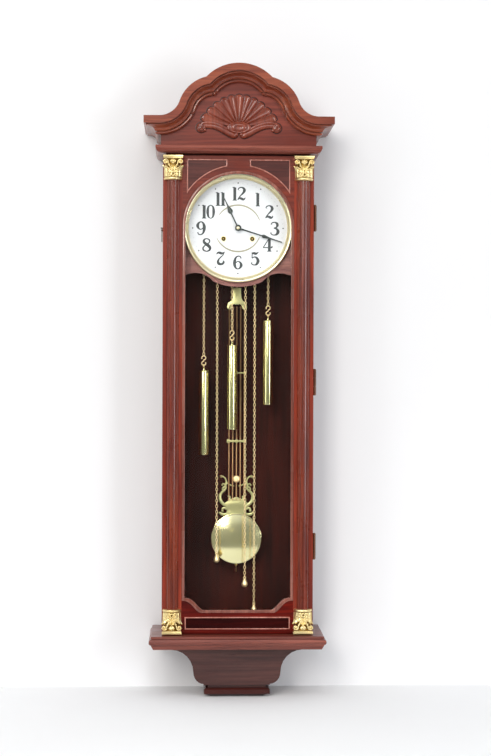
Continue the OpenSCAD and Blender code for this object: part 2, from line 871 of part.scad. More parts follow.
// Outline of a hand that points up: a slim stem, a leaf and a fine tip
module hand_outline(length, leaf_at, leaf_long, leaf_wide, boss) {
    half = leaf_wide / 2;
    foot = leaf_at - half;
    circle(boss);
    polygon([[-1.5, 0], [-1.3, foot + 1], [1.3, foot + 1], [1.5, 0]]);
    polygon([[-1.3, foot], [-half * 0.7, foot + half * 0.3], [-half, leaf_at],
             [-half * 0.8, leaf_at + leaf_long * 0.3], [-1.5, leaf_at + leaf_long],
             [-0.9, length], [0.9, length], [1.5, leaf_at + leaf_long],
             [half * 0.8, leaf_at + leaf_long * 0.3], [half, leaf_at],
             [half * 0.7, foot + half * 0.3], [1.3, foot]]);
}

hour_pipe_r = 3.2;
cannon_r = 2.2;

module hour_hand() {
    color("#2e302e") difference() {
        union() {
            slab(hour_y, hand_t) translate([0, dial_z]) rotate(-hour_angle)
                hand_outline(hour_len, hour_len * 0.57, 13, 10.9, 6.3);
            rod_y(0, hour_y, dial_z, hour_pipe_r, -hour_y - plate_d - hair);
        }
        rod_y(0, hour_y - 1, dial_z, cannon_r + running, 40);
    }
}

module minute_hand() {
    color("#2e302e") {
        slab(minute_y, hand_t) translate([0, dial_z]) rotate(-minute_angle)
            hand_outline(minute_len, minute_len * 0.58, 14, 8, 4.6);
        rod_y(0, minute_y - 2.2, dial_z, cannon_r, -minute_y - plate_d + 6.8);
        rod_y(0, minute_y - 1.4, dial_z, 3, 1.4);
    }
    color("#c8a85a") rod_y(0, -plate_d + 3.2, dial_z, 19, 1.4);
}

// Movement

module at_winders() {
    for (s = [-1, 1]) translate([s * wind_x, 0, dial_z - wind_drop]) children();
}

module movement_plate(front) {
    difference() {
        slab(front, plate_t) translate([-plate_half, plate_z]) square([2 * plate_half, plate_h]);
        at_winders() rod_y(0, front - 1, 0, arbor_r + running, plate_t + 2);
    }
}

module movement_plates() {
    color("#c8a85a") {
        difference() {
            movement_plate(front_plate_y);
            rod_y(0, front_plate_y - 1, dial_z, cannon_r + running, plate_t + 2);
            rod_y(0, front_plate_y - 1, pivot_z, 1.5 + running, plate_t + 2);
        }
        difference() {
            movement_plate(back_plate_y);
            rod_y(0, back_plate_y - 1, pivot_z, 1.5 + running, plate_t + 2);
        }
        // Cock that the pendulum's spring hangs from
        span([-7, back_plate_y + plate_t, pivot_z + 12], [7, swing_y + 5, pivot_z + 18]);
        // Posts that the hammers turn on
        pair() rod_y(36, back_plate_y + plate_t, pivot_z, 2, -back_plate_y - plate_t - 31);
    }
}

module movement_pillars() {
    color("#c8a85a") pair() for (z = [plate_z + 7, plate_z + plate_h - 7])
        rod_y(plate_half - 7, front_plate_y + plate_t, z, 3.5, plate_space);
}

module movement_brackets() {
    color("#b8b8b0") pair()
        span([plate_half, front_plate_y, plate_z + 14], [plate_half + 3, -back_t, plate_z + 44]);
}

module barrel() {
    translate([0, barrel_y, 0]) difference() {
        union() {
            rod_y(0, 0, 0, barrel_r, barrel_h);
            rod_y(0, 0, 0, barrel_r + 2.5, 2);
        }
        rod_y(0, -1, 0, arbor_r + running, barrel_h + 2);
    }
}

module winder() {
    rod_y(0, front_plate_y - 1, 0, arbor_r, plate_space + 2 * plate_t + 2);
    span([-arbor_r / 2, dial_face + 1, -arbor_r / 2], [arbor_r / 2, front_plate_y - 1, arbor_r / 2]);
}

module time_barrel() {
    color("#c8a85a") translate([wind_x, 0, dial_z - wind_drop]) barrel();
}

module strike_barrel() {
    color("#c8a85a") translate([-wind_x, 0, dial_z - wind_drop]) barrel();
}

module time_winder() {
    color("#8a8a84") translate([wind_x, 0, dial_z - wind_drop]) winder();
}

module strike_winder() {
    color("#8a8a84") translate([-wind_x, 0, dial_z - wind_drop]) winder();
}

// Crutch with its arbor: it rocks with the pendulum and holds its leader in a fork
module crutch() {
    fork_z = pivot_z - 62;
    arbor_back = swing_y - 5;
    color("#a8a8a0") {
        rod_y(0, front_plate_y - 0.5, pivot_z, 1.5, arbor_back - front_plate_y + 0.5);
        span([-2.5, arbor_back - 1.5, fork_z], [2.5, arbor_back, pivot_z]);
        pair() span([post_r + 0.5, arbor_back - 1.5, fork_z - 6], [post_r + 2, swing_y + 4, fork_z]);
        slab(back_plate_y - 6, 2) polygon([[-13, pivot_z - 14], [-10, pivot_z - 16],
            [-6, pivot_z - 4], [6, pivot_z - 4], [10, pivot_z - 16], [13, pivot_z - 14],
            [8, pivot_z + 3], [-8, pivot_z + 3]]);
    }
}

gong_x = 14;
gong_y = -28;
gong_head = neck_z - deck_t - 18;
hammer_z = pivot_z + 32;

module hammer() {
    front = -37;
    face = gong_x + gong_r + 2;
    color("#c8a85a") difference() {
        union() {
            rod_y(36, front, pivot_z, 4, 5);
            slab(front, 2) polygon([[33.5, pivot_z], [38.5, pivot_z], [face + 8, hammer_z],
                                    [face + 3, hammer_z]]);
            translate([face, gong_y - 1, hammer_z]) rotate([0, 90, 0]) cylinder(r = 4, h = 11);
            span([face + 3, front, hammer_z - 3], [face + 8, gong_y, hammer_z + 3]);
        }
        rod_y(36, front - 1, pivot_z, 2 + running, 8);
    }
}

module left_hammer() {
    mirror([1, 0, 0]) hammer();
}

module right_hammer() {
    hammer();
}

module chime_rods() {
    color("#6a6a66") {
        span([-24, -40, gong_head], [24, -back_t, gong_head + 18]);
        pair() translate([gong_x, gong_y, gong_head - gong_len]) cylinder(r = gong_r, h = gong_len);
    }
}

// Weights and chains

// Round bead string of the chain's outer shape, hanging down from z = 0
module chain(length) {
    count = max(1, round(length / link_step));
    step = length / count;
    waist = link_w * 0.3;
    rotate_extrude($fn = 24) polygon(concat([[0, 0], [waist, 0]],
        [for (i = [0:count - 1]) each [[link_w / 2, -(i + 0.35) * step],
            [link_w / 2, -(i + 0.65) * step], [waist, -(i + 1) * step]]],
        [[0, -length]]));
}

module ring(r, wire, turn) {
    rotate([90, 0, turn]) rotate_extrude($fn = 32) translate([r, 0]) circle(wire, $fn = 16);
}

module sheave_bar() {
    bar_y = chain_y + 6;
    color("#c8a85a") {
        span([sheave_x[0] - 18, bar_y, sheave_z - 5], [sheave_x[2] + 18, bar_y + 3, sheave_z + 5]);
        for (x = [sheave_x[0] - 14, sheave_x[2] + 14])
            span([x - 3, bar_y + 3, sheave_z - 5], [x + 3, -back_t, sheave_z + 5]);
        for (x = sheave_x) {
            rod_y(x, chain_y - 2.5, sheave_z, sheave_r - link_w / 2 - 0.4, 5);
            rod_y(x, chain_y - 5, sheave_z, 3, 11);
            intersection() {
                translate([x, chain_y, sheave_z]) ring(sheave_r, link_w * 0.45, 0);
                span([x - 30, chain_y - 5, sheave_z + hair], [x + 30, chain_y + 5, sheave_z + 30]);
            }
        }
    }
}

module weight(i) {
    top = -weight_drop[i];
    wall = 0.8;
    translate([sheave_x[i] + weight_side[i] * sheave_r, chain_y, sheave_z]) {
        color("#d8b45a") translate([0, 0, -hair]) chain(weight_drop[i] - hook_len - stem_len - hair);
        color("#d8b45a") translate([0, 0, top + stem_len]) {
            translate([0, 0, hook_len * 0.75]) ring(hook_len / 4 - 1.1, 1.1, 0);
            translate([0, 0, hook_len * 0.25]) ring(hook_len / 4 - 1.1, 1.1, 0);
            translate([0, 0, hook_len / 2 - 1.2]) cylinder(r = 1.1, h = 2.4);
            translate([0, 0, hook_len - 0.6]) cylinder(r = 1, h = 0.6);
        }
        color("#c8a85a") translate([0, 0, top]) {
            cylinder(r = 1.5, h = stem_len + 0.4);
            cylinder(r = 3.4, h = 2.2);
            translate([0, 0, -weight_len]) cylinder(r = 1.5, h = weight_len);
        }
        color("#d8b45a") translate([0, 0, top - weight_len]) {
            difference() {
                cylinder(r = weight_r - 0.2, h = weight_len);
                translate([0, 0, 3]) cylinder(r = weight_r - 0.2 - wall, h = weight_len - 6);
            }
            cylinder(r = weight_r, h = 2.5);
            translate([0, 0, weight_len - 3]) cylinder(r = weight_r, h = 3);
        }
    }
}

module left_weight() {
    weight(0);
}

module middle_weight() {
    weight(1);
}

module right_weight() {
    weight(2);
}

module chain_tail(i) {
    ring_r = 2.2;
    translate([sheave_x[i] - weight_side[i] * sheave_r, chain_y, sheave_z]) color("#d8b45a") {
        translate([0, 0, -hair]) chain(pull_drop[i] - hair);
        translate([0, 0, -pull_drop[i]]) rotate_extrude($fn = 32) polygon([
            [0, 0.4], [1.4, 0.4], [1.8, -pull_len * 0.2], [3.2, -pull_len * 0.4],
            [4.8, -pull_len * 0.58], [5.5, -pull_len * 0.75], [5, -pull_len * 0.9],
            [3.2, -pull_len], [0, -pull_len]]);
    }
}

module left_chain_tail() {
    chain_tail(0);
}

module middle_chain_tail() {
    chain_tail(1);
}

module right_chain_tail() {
    chain_tail(2);
}

// Pendulum

tie_half = 2 * rod_step + 5;

module tie(z, high) {
    slab(swing_y - 2.6, 5.2) union() {
        translate([-tie_half + 2, z - high / 4]) square([2 * tie_half - 4, high / 2]);
        for (x = [-2:2]) translate([x * rod_step, z]) circle(high / 2, $fn = 24);
        for (s = [-1, 1]) translate([s * (tie_half - 2.5), z]) circle(high / 2.4, $fn = 24);
    }
}

// Right half of the lyre, from the plate behind the bob up to the horn's tip
module lyre_half() {
    hip = [20, lyre_z + 35];
    difference() {
        translate(hip) circle(15.5);
        translate(hip) circle(9.5);
        translate(hip + [-16, 2]) square([14, 20]);
    }
    polygon([[0, lyre_z - 14], [21, lyre_z - 14], [20, lyre_z + 8], [28, lyre_z + 22],
             [13, lyre_z + 29], [0, lyre_z + 33]]);
    translate([30, lyre_z + 2]) circle(4.2);
    translate([25, lyre_z + 8]) circle(4.6);
    translate([24, lyre_z + 52]) circle(4.4);
    translate([27, lyre_z + 58]) circle(3.4);
    polygon([[17, lyre_z + 46], [22, lyre_z + 46], [26, lyre_z + 56], [20, lyre_z + 68],
             [27, lyre_z + 75], [32, lyre_z + 75], [30, lyre_z + 79], [24, lyre_z + 78],
             [16, lyre_z + 67], [5, lyre_z + 61], [5, lyre_z + 57], [15, lyre_z + 61],
             [20, lyre_z + 58]]);
    translate([32, lyre_z + 76.5]) circle(3);
}

module pendulum_frame() {
    leader_head = pivot_z - 5;
    boss_z = lyre_z + 72;
    color("#d8b45a") {
        // Suspension spring with its end block
        span([-3, swing_y - 0.3, leader_head], [3, swing_y + 0.3, pivot_z + 11.7]);
        span([-4, swing_y - 2, leader_head - 6], [4, swing_y + 2, leader_head]);
        translate([0, swing_y, rods_head + 20])
            cylinder(r = post_r, h = leader_head - 6 - rods_head - 20);
        slab(swing_y - 2, 4) union() {
            for (s = [-1, 1]) translate([s * 2 * rod_step, rods_head - 3]) circle(4);
            translate([-2 * rod_step, rods_head - 6]) square([4 * rod_step, 11]);
            difference() {
                translate([-13, rods_head + 3]) square([26, 20]);
                for (s = [-1, 1]) translate([s * 16, rods_head + 16]) circle(10);
            }
            translate([-8.5, rods_head + 14]) square([17, 17]);
        }
        for (x = [-2:2]) translate([x * rod_step, swing_y, rods_foot])
            cylinder(r = rod_r, h = rods_head - 6 - rods_foot);
        tie(tie_low_z, 9);
        tie(tie_high_z, 7);
        slab(swing_y - 1.5, 3) pair() lyre_half();
        rod_y(0, swing_y - 6, boss_z, 7, 7.6);
        slab(swing_y - 1.5, 3) translate([-9, boss_z - 13]) square([18, 4]);
        // Rating rod below the lyre
        translate([0, swing_y, bob_z - bob_r - rating_len])
            cylinder(r = post_r, h = rating_len + 2 * bob_r - 6);
    }
}

// Bob with a domed face, and a slide behind it that fits the rating rod
module bob() {
    color("#e0c878") difference() {
        union() {
            translate([0, bob_back, bob_z]) rotate([90, 0, 0]) rotate_extrude($fn = 96)
                polygon(concat([[0, 0]], [for (i = [0:10]) let (u = 1 - i / 10)
                    [bob_r * u, 1 + (bob_t - 1) * (1 - pow(u, 2))]]));
            span([-5, bob_back - 0.5, bob_z - 8], [5, swing_y + 4, bob_z + 8]);
        }
        translate([0, swing_y, bob_z - 9]) cylinder(r = post_r + running, h = 18);
    }
}

module rating_nut() {
    color("#e0c878") translate([0, swing_y, bob_z - bob_r - hair - nut_h]) difference() {
        cylinder(r = nut_r, h = nut_h);
        translate([0, 0, -1]) cylinder(r = post_r + running, h = nut_h + 2);
    }
}

hung() back_board();
hung() hanger_plate();
hung() left_side();
hung() right_side();
hung() top_board();
hung() bottom_board();
hung() plinth();
hung() bracket_front();
hung() bracket_sides();
hung() bracket_waist();
hung() foot();
hung() neck_moulding();
hung() crown_field();
hung() crown_sides();
hung() crown_moulding();
hung() crown_returns();
hung() shell_carving();
hung() door_left_stile();
hung() door_right_stile();
hung() door_top_rail();
hung() door_bottom_rail();
hung() door_lip();
hung() door_glass();
hung() glazing_strips();
hung() panel_beads();
hung() left_column();
hung() right_column();
hung() upper_capitals();
hung() lower_capitals();
hung() door_hinge_leaves();
hung() case_hinges();
hung() latch_hook();
hung() latch_eye();
hung() mask_board();
hung() dial();
hung() bezel();
hung() winding_bushes();
hung() hour_hand();
hung() minute_hand();
hung() movement_plates();
hung() movement_pillars();
hung() movement_brackets();
hung() time_barrel();
hung() strike_barrel();
hung() time_winder();
hung() strike_winder();
hung() crutch();
hung() left_hammer();
hung() right_hammer();
hung() chime_rods();
hung() sheave_bar();
hung() left_weight();
hung() middle_weight();
hung() right_weight();
hung() left_chain_tail();
hung() middle_chain_tail();
hung() right_chain_tail();
hung() pendulum_frame();
hung() bob();
hung() rating_nut();
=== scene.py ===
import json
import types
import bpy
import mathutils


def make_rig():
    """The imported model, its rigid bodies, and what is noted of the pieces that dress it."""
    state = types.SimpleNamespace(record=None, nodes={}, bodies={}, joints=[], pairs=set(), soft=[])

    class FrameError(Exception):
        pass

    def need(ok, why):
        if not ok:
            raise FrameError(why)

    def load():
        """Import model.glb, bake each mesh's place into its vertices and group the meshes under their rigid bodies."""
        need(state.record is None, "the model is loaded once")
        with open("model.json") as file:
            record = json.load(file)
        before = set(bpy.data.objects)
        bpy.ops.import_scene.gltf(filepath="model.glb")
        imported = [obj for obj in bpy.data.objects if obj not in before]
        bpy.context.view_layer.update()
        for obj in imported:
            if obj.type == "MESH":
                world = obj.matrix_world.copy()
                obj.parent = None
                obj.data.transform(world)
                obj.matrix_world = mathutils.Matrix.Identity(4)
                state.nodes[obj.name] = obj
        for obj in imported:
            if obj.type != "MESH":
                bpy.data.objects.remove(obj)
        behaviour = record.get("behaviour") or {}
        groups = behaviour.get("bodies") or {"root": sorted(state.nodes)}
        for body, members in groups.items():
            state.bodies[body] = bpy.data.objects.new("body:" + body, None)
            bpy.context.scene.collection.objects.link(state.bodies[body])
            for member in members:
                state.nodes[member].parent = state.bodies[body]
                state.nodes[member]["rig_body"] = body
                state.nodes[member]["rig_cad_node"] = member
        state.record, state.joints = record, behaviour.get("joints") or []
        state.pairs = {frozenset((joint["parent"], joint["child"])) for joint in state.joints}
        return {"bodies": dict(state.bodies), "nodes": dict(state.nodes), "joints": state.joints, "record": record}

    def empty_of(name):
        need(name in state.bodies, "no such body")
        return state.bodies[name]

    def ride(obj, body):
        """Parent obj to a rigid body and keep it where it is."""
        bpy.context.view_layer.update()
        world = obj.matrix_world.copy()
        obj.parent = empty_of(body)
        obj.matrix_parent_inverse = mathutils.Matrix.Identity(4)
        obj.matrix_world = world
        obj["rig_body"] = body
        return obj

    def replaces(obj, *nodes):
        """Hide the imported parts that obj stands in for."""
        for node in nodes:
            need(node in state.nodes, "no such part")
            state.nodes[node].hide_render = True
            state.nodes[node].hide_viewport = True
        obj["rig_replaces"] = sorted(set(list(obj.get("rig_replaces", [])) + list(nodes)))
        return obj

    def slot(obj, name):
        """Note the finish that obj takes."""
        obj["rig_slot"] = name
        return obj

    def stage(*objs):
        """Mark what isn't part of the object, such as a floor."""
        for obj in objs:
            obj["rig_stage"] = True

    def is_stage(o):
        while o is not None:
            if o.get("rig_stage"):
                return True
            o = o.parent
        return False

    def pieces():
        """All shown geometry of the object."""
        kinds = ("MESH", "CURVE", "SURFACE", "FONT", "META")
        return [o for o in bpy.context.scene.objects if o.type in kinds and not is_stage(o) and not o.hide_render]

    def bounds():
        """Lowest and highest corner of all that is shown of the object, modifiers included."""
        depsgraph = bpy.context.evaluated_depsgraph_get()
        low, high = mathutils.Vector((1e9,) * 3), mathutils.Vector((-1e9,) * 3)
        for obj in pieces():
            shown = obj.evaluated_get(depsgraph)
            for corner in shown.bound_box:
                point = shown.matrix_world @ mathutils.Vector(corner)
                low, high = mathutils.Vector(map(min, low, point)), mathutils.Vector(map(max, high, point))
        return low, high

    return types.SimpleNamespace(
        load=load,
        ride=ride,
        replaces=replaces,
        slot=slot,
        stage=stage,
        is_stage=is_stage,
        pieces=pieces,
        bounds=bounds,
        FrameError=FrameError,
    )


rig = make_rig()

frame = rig.load()

import json
import math

import bmesh
import bpy
from mathutils import Matrix, Vector

cad_low, cad_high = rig.bounds()

bl_info = {
    "name": "Chiming wall clock",
    "version": (1, 0, 0),
    "blender": (4, 5, 0),
    "location": "3D View > Sidebar > Wall clock",
    "description": "Dresses the wall clock's frame with its carving, gilding, dial, chains and pendulum",
    "category": "Object",
}

# Lengths below are in millimetres and heights count up from the underside of the foot.
# The frame's origin is the hanger's hole, this far above that underside.
HANGER_UP = 1060.0
# Faces and planes by their Y, which falls towards the room
SHELL_BOARD = -142.0
DOOR_FACE = -137.5
DIAL_FACE = -101.2
CHAIN_Y = -75.0
SWING_Y = -45.0
# Heights of the dial's middle, the chain wheels, the lyre and the bob
DIAL_UP = 970.0
WHEEL_UP = 888.5
LYRE_UP = 373.0
BOB_UP = 320.0
# Across and up of the shell's middle, and of its arms' scrolls from there
SHELL_MIDDLE = (0.0, 1173.4)
SCROLL = (77.6, -0.6)
CAPITAL_SIDE = 134.75
CAPITAL_UP = {"upper": 1065.0, "lower": 183.5}
DOTS_R = 94.0
BOB_R = 53.0
# Across of each chain wheel, the side that its weight hangs on, and how far weight and pull hang
WHEEL_R = 14.0
WHEELS = {"left": -56.0, "middle": 3.0, "right": 50.5}
WEIGHT_SIDE = {"left": -1, "middle": -1, "right": 1}
WEIGHT_DROP = {"left": 214.0, "middle": 161.0, "right": 109.0}
PULL_DROP = {"left": 596.0, "middle": 647.0, "right": 702.0}
HOOK_LONG = 31.0
TUBE_LONG = 177.0
# Camera's place in metres and its turn in degrees
CAMERA_PLACE = (-0.1085, -3.739, -0.384)
CAMERA_TURN = (90, -0.183, -2.348)
# Middle of the floor in metres, under the foot and out from the wall
FLOOR_PLACE = (0, -0.5485, -1.0602)
WALL_PLACE = (0, 0.0015, 1.8)


def at(x, y, z):
    """Point in the frame, in metres."""
    return Vector((x, y, z - HANGER_UP)) * 0.001


def mm(value):
    """Millimetres in metres."""
    return value * 0.001


# Picking and finishing


def put_down():
    """Back to object mode with nothing selected."""
    if bpy.context.mode != "OBJECT":
        bpy.ops.object.mode_set(mode="OBJECT")
    bpy.ops.object.select_all(action="DESELECT")


def take(*pieces):
    """Selects these pieces alone; the first is the active one."""
    put_down()
    for piece in pieces:
        piece.hide_set(False)
        piece.select_set(True)
    bpy.context.view_layer.objects.active = pieces[0]
    return pieces[0]


def work_on(piece, kind="VERT"):
    """Edit mode on one piece with all of it selected."""
    take(piece)
    bpy.ops.object.mode_set(mode="EDIT")
    bpy.ops.mesh.select_mode(type=kind)
    bpy.ops.mesh.select_all(action="SELECT")


def pick_faces(piece, test):
    """Selects the faces whose middle and normal pass the test."""
    bpy.ops.mesh.select_mode(type="FACE")
    bpy.ops.mesh.select_all(action="DESELECT")
    mesh = bmesh.from_edit_mesh(piece.data)
    for face in mesh.faces:
        face.select_set(bool(test(face.calc_center_median(), face.normal)))
    mesh.select_flush_mode()
    bmesh.update_edit_mesh(piece.data)


def knit(piece, gap=0.000004):
    """Merges doubled points and turns every face outwards."""
    work_on(piece)
    bpy.ops.mesh.remove_doubles(threshold=gap)
    bpy.ops.mesh.select_all(action="SELECT")
    bpy.ops.mesh.normals_make_consistent(inside=False)
    bpy.ops.object.mode_set(mode="OBJECT")
    return piece


def settle(piece):
    """Puts a piece's place, turn and size into its mesh."""
    take(piece)
    bpy.ops.object.transform_apply(location=True, rotation=True, scale=True)
    return piece


def shape(piece, move):
    """Moves every point of a piece by a rule on its place."""
    for vert in piece.data.vertices:
        vert.co = move(vert.co.copy())
    piece.data.update()
    return piece


def twin(piece, name):
    """A copy with its own mesh."""
    take(piece)
    bpy.ops.object.duplicate(linked=False)
    copy = bpy.context.object
    copy.name = name
    return copy


def shifted(piece, name, move):
    """A copy with its own mesh, moved by a matrix."""
    copy = twin(piece, name)
    copy.data.transform(move)
    if move.to_3x3().determinant() < 0:
        copy.data.flip_normals()
    return copy


def join(name, pieces):
    """Joins pieces into the first one."""
    take(*pieces)
    if len(pieces) > 1:
        bpy.ops.object.join()
    whole = bpy.context.object
    whole.name = name
    whole.data.name = name
    return whole


def modify(piece, kind, **values):
    """Adds one modifier and applies it."""
    take(piece)
    modifier = piece.modifiers.new(kind.title(), kind)
    for key, value in values.items():
        setattr(modifier, key, value)
    bpy.ops.object.modifier_apply(modifier=modifier.name)
    return piece


def finish(piece, body, slot, material, nodes=(), angle=32.0):
    """Smooths a piece, gives it its material and hands it to its body."""
    settle(piece)
    bpy.ops.object.shade_smooth_by_angle(angle=math.radians(angle))
    piece.data.materials.clear()
    piece.data.materials.append(material)
    piece.data.name = piece.name
    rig.ride(piece, body)
    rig.slot(piece, slot)
    if nodes:
        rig.replaces(piece, *nodes)
    return piece


# Ways of starting a piece


def thread(name, lines, closed=False, flat=False):
    """A curve of straight steps through each line of points, with a fourth value for its width."""
    put_down()
    bpy.ops.curve.primitive_nurbs_path_add(location=(0, 0, 0))
    curve = bpy.context.object
    curve.name = name
    curve.data.splines.clear()
    curve.data.dimensions = "2D" if flat else "3D"
    for line in lines:
        spline = curve.data.splines.new("POLY")
        spline.points.add(len(line) - 1)
        for point, place in zip(spline.points, line):
            point.co = (place[0], place[1], place[2] if len(place) > 2 else 0.0, 1.0)
            point.radius = place[3] if len(place) > 3 else 1.0
        spline.use_cyclic_u = closed
        spline.use_smooth = True
    return curve


def to_mesh(curve):
    """Turns a curve into a mesh."""
    take(curve)
    bpy.ops.object.convert(target="MESH")
    return bpy.context.object


def wire(name, lines, radius, closed=False, sides=2, gap=0.0000005):
    """Round wire along lines of points in metres."""
    curve = thread(name, lines, closed)
    curve.data.bevel_depth = radius
    curve.data.bevel_resolution = sides
    curve.data.use_fill_caps = True
    return knit(to_mesh(curve), gap)


def filled(name, outline, thick, bevel):
    """Slab in X and Y from a closed outline in metres, with rounded edges in millimetres."""
    curve = thread(name, [outline], True, flat=True)
    curve.data.fill_mode = "BOTH"
    curve.data.extrude = mm(thick / 2 - bevel)
    curve.data.bevel_depth = mm(bevel)
    curve.data.bevel_resolution = 2
    curve.data.offset = -mm(bevel)
    return to_mesh(curve)


def plate(name, outline, front, thick, bevel=0.0):
    """Upright plate from a closed outline in X and height, in millimetres, with rounded edges."""
    piece = filled(name, [(mm(x), mm(z - HANGER_UP)) for x, z in outline], thick, bevel)
    piece.rotation_euler = (math.radians(90), 0, 0)
    piece.location = (0, mm(front + thick / 2), 0)
    settle(piece)
    return knit(piece, 0.000001)


def turned(name, profile, centre, axis="Z", steps=48):
    """Turned piece: profile points are (radius, distance along the axis) in millimetres."""
    if axis == "Z":
        line = [(centre.x + mm(r), centre.y, centre.z + mm(h)) for r, h in profile]
        way = (0, 0, 1)
    else:
        line = [(centre.x + mm(r), centre.y - mm(h), centre.z) for r, h in profile]
        way = (0, 1, 0)
    piece = to_mesh(thread(name, [line]))
    work_on(piece)
    bpy.ops.mesh.spin(steps=steps, angle=math.tau, center=centre, axis=way)
    bpy.ops.object.mode_set(mode="OBJECT")
    return knit(piece)


def ball(radius, place, segments, rings, flat=1.0):
    """Bead at a place in metres, with its depth drawn in by a factor."""
    put_down()
    bpy.ops.mesh.primitive_uv_sphere_add(segments=segments, ring_count=rings, radius=mm(radius),
                                         location=place)
    bead = bpy.context.object
    bead.scale = (1, flat, 1)
    return settle(bead)


def widened(piece, middle, across, up):
    """Stretches a piece about a middle by a factor across and a factor up."""
    piece.data.transform(Matrix.Translation(middle) @ Matrix.Diagonal((across, 1, up, 1))
                         @ Matrix.Translation(-middle))
    return piece


def softened(node, name, width, steps=2, angle=40.0):
    """A merged copy of a rigid node with its sharp edges rounded."""
    source = frame["nodes"][node]
    piece = twin(source, name)
    piece.parent = None
    piece.matrix_world = source.matrix_world
    settle(piece)
    notes = [key for key in piece.keys() if key.startswith("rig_")]
    for key in notes:
        del piece[key]
    work_on(piece)
    bpy.ops.mesh.remove_doubles(threshold=0.00002)
    bpy.ops.mesh.dissolve_limited(angle_limit=math.radians(1.5))
    bpy.ops.object.mode_set(mode="OBJECT")
    modify(piece, "BEVEL", width=mm(width), segments=steps, limit_method="ANGLE",
           angle_limit=math.radians(angle), use_clamp_overlap=True)
    return piece


def smooth_line(points, each=8):
    """Points of a soft line through the given ones, with their widths."""
    points = [tuple(p) for p in points]
    ends = [points[0], *points, points[-1]]
    line = []
    for i in range(1, len(ends) - 2):
        for k in range(each):
            t = k / each
            line.append(tuple(
                0.5 * (2 * b + (c - a) * t + (2 * a - 5 * b + 4 * c - d) * t * t
                       + (3 * b - a - 3 * c + d) * t * t * t)
                for a, b, c, d in zip(ends[i - 1], ends[i], ends[i + 1], ends[i + 2])))
    line.append(points[-1])
    return line


def ring_line(x, z, r, start, end, steps):
    """Points of an arc about (x, z); angles run clockwise from the top, in degrees."""
    line = []
    for i in range(steps + 1):
        a = math.radians(start + (end - start) * i / steps)
        line.append((x + r * math.sin(a), z + r * math.cos(a)))
    return line


# Shared effects


def effect(name, inputs, outputs):
    """A new node group with its sockets, and its two end nodes."""
    group = bpy.data.node_groups.new(name, "ShaderNodeTree")
    for label, kind, value in inputs:
        socket = group.interface.new_socket(label, in_out="INPUT", socket_type=kind)
        if value is not None:
            socket.default_value = value
    for label, kind in outputs:
        group.interface.new_socket(label, in_out="OUTPUT", socket_type=kind)
    start = group.nodes.new("NodeGroupInput")
    end = group.nodes.new("NodeGroupOutput")
    return group, start, end


def noise(tree, vector, scale, detail, roughness=0.55):
    """Noise from 0 to 1 at a place."""
    node = tree.nodes.new("ShaderNodeTexNoise")
    node.inputs["Scale"].default_value = scale
    node.inputs["Detail"].default_value = detail
    node.inputs["Roughness"].default_value = roughness
    tree.links.new(vector, node.inputs["Vector"])
    return node.outputs["Fac"]


def stretched(tree, vector, scale):
    """A place scaled by a factor on each axis."""
    node = tree.nodes.new("ShaderNodeMapping")
    node.inputs["Scale"].default_value = scale
    tree.links.new(vector, node.inputs["Vector"])
    return node.outputs["Vector"]


def spread(tree, value, low, high, to_low=0.0, to_high=1.0):
    """A value's range from low to high spread over another range."""
    node = tree.nodes.new("ShaderNodeMapRange")
    node.inputs["From Min"].default_value = low
    node.inputs["From Max"].default_value = high
    node.inputs["To Min"].default_value = to_low
    node.inputs["To Max"].default_value = to_high
    tree.links.new(value, node.inputs["Value"])
    return node.outputs["Result"]


def sums(tree, way, one, two):
    """One step of arithmetic on two values or sockets."""
    node = tree.nodes.new("ShaderNodeMath")
    node.operation = way
    for socket, value in zip(node.inputs, (one, two)):
        if isinstance(value, (int, float)):
            socket.default_value = value
        else:
            tree.links.new(value, socket)
    return node.outputs[0]


def share(tree, value, part):
    """A fixed part of a value."""
    return sums(tree, "MULTIPLY", value, part)


def blend_colour(tree, mask, one, two):
    """One colour where the mask is 0 and the other where it is 1."""
    node = tree.nodes.new("ShaderNodeMix")
    node.data_type = "RGBA"
    for socket, value in ((node.inputs[0], mask), (node.inputs[6], one), (node.inputs[7], two)):
        if isinstance(value, (int, float, tuple)):
            socket.default_value = value
        else:
            tree.links.new(value, socket)
    return node.outputs[2]


def sized_place(group, start):
    """The place that a group is given, times its size."""
    sized = group.nodes.new("ShaderNodeVectorMath")
    sized.operation = "SCALE"
    group.links.new(start.outputs["Place"], sized.inputs[0])
    group.links.new(start.outputs["Size"], sized.inputs["Scale"])
    return sized.outputs[0]


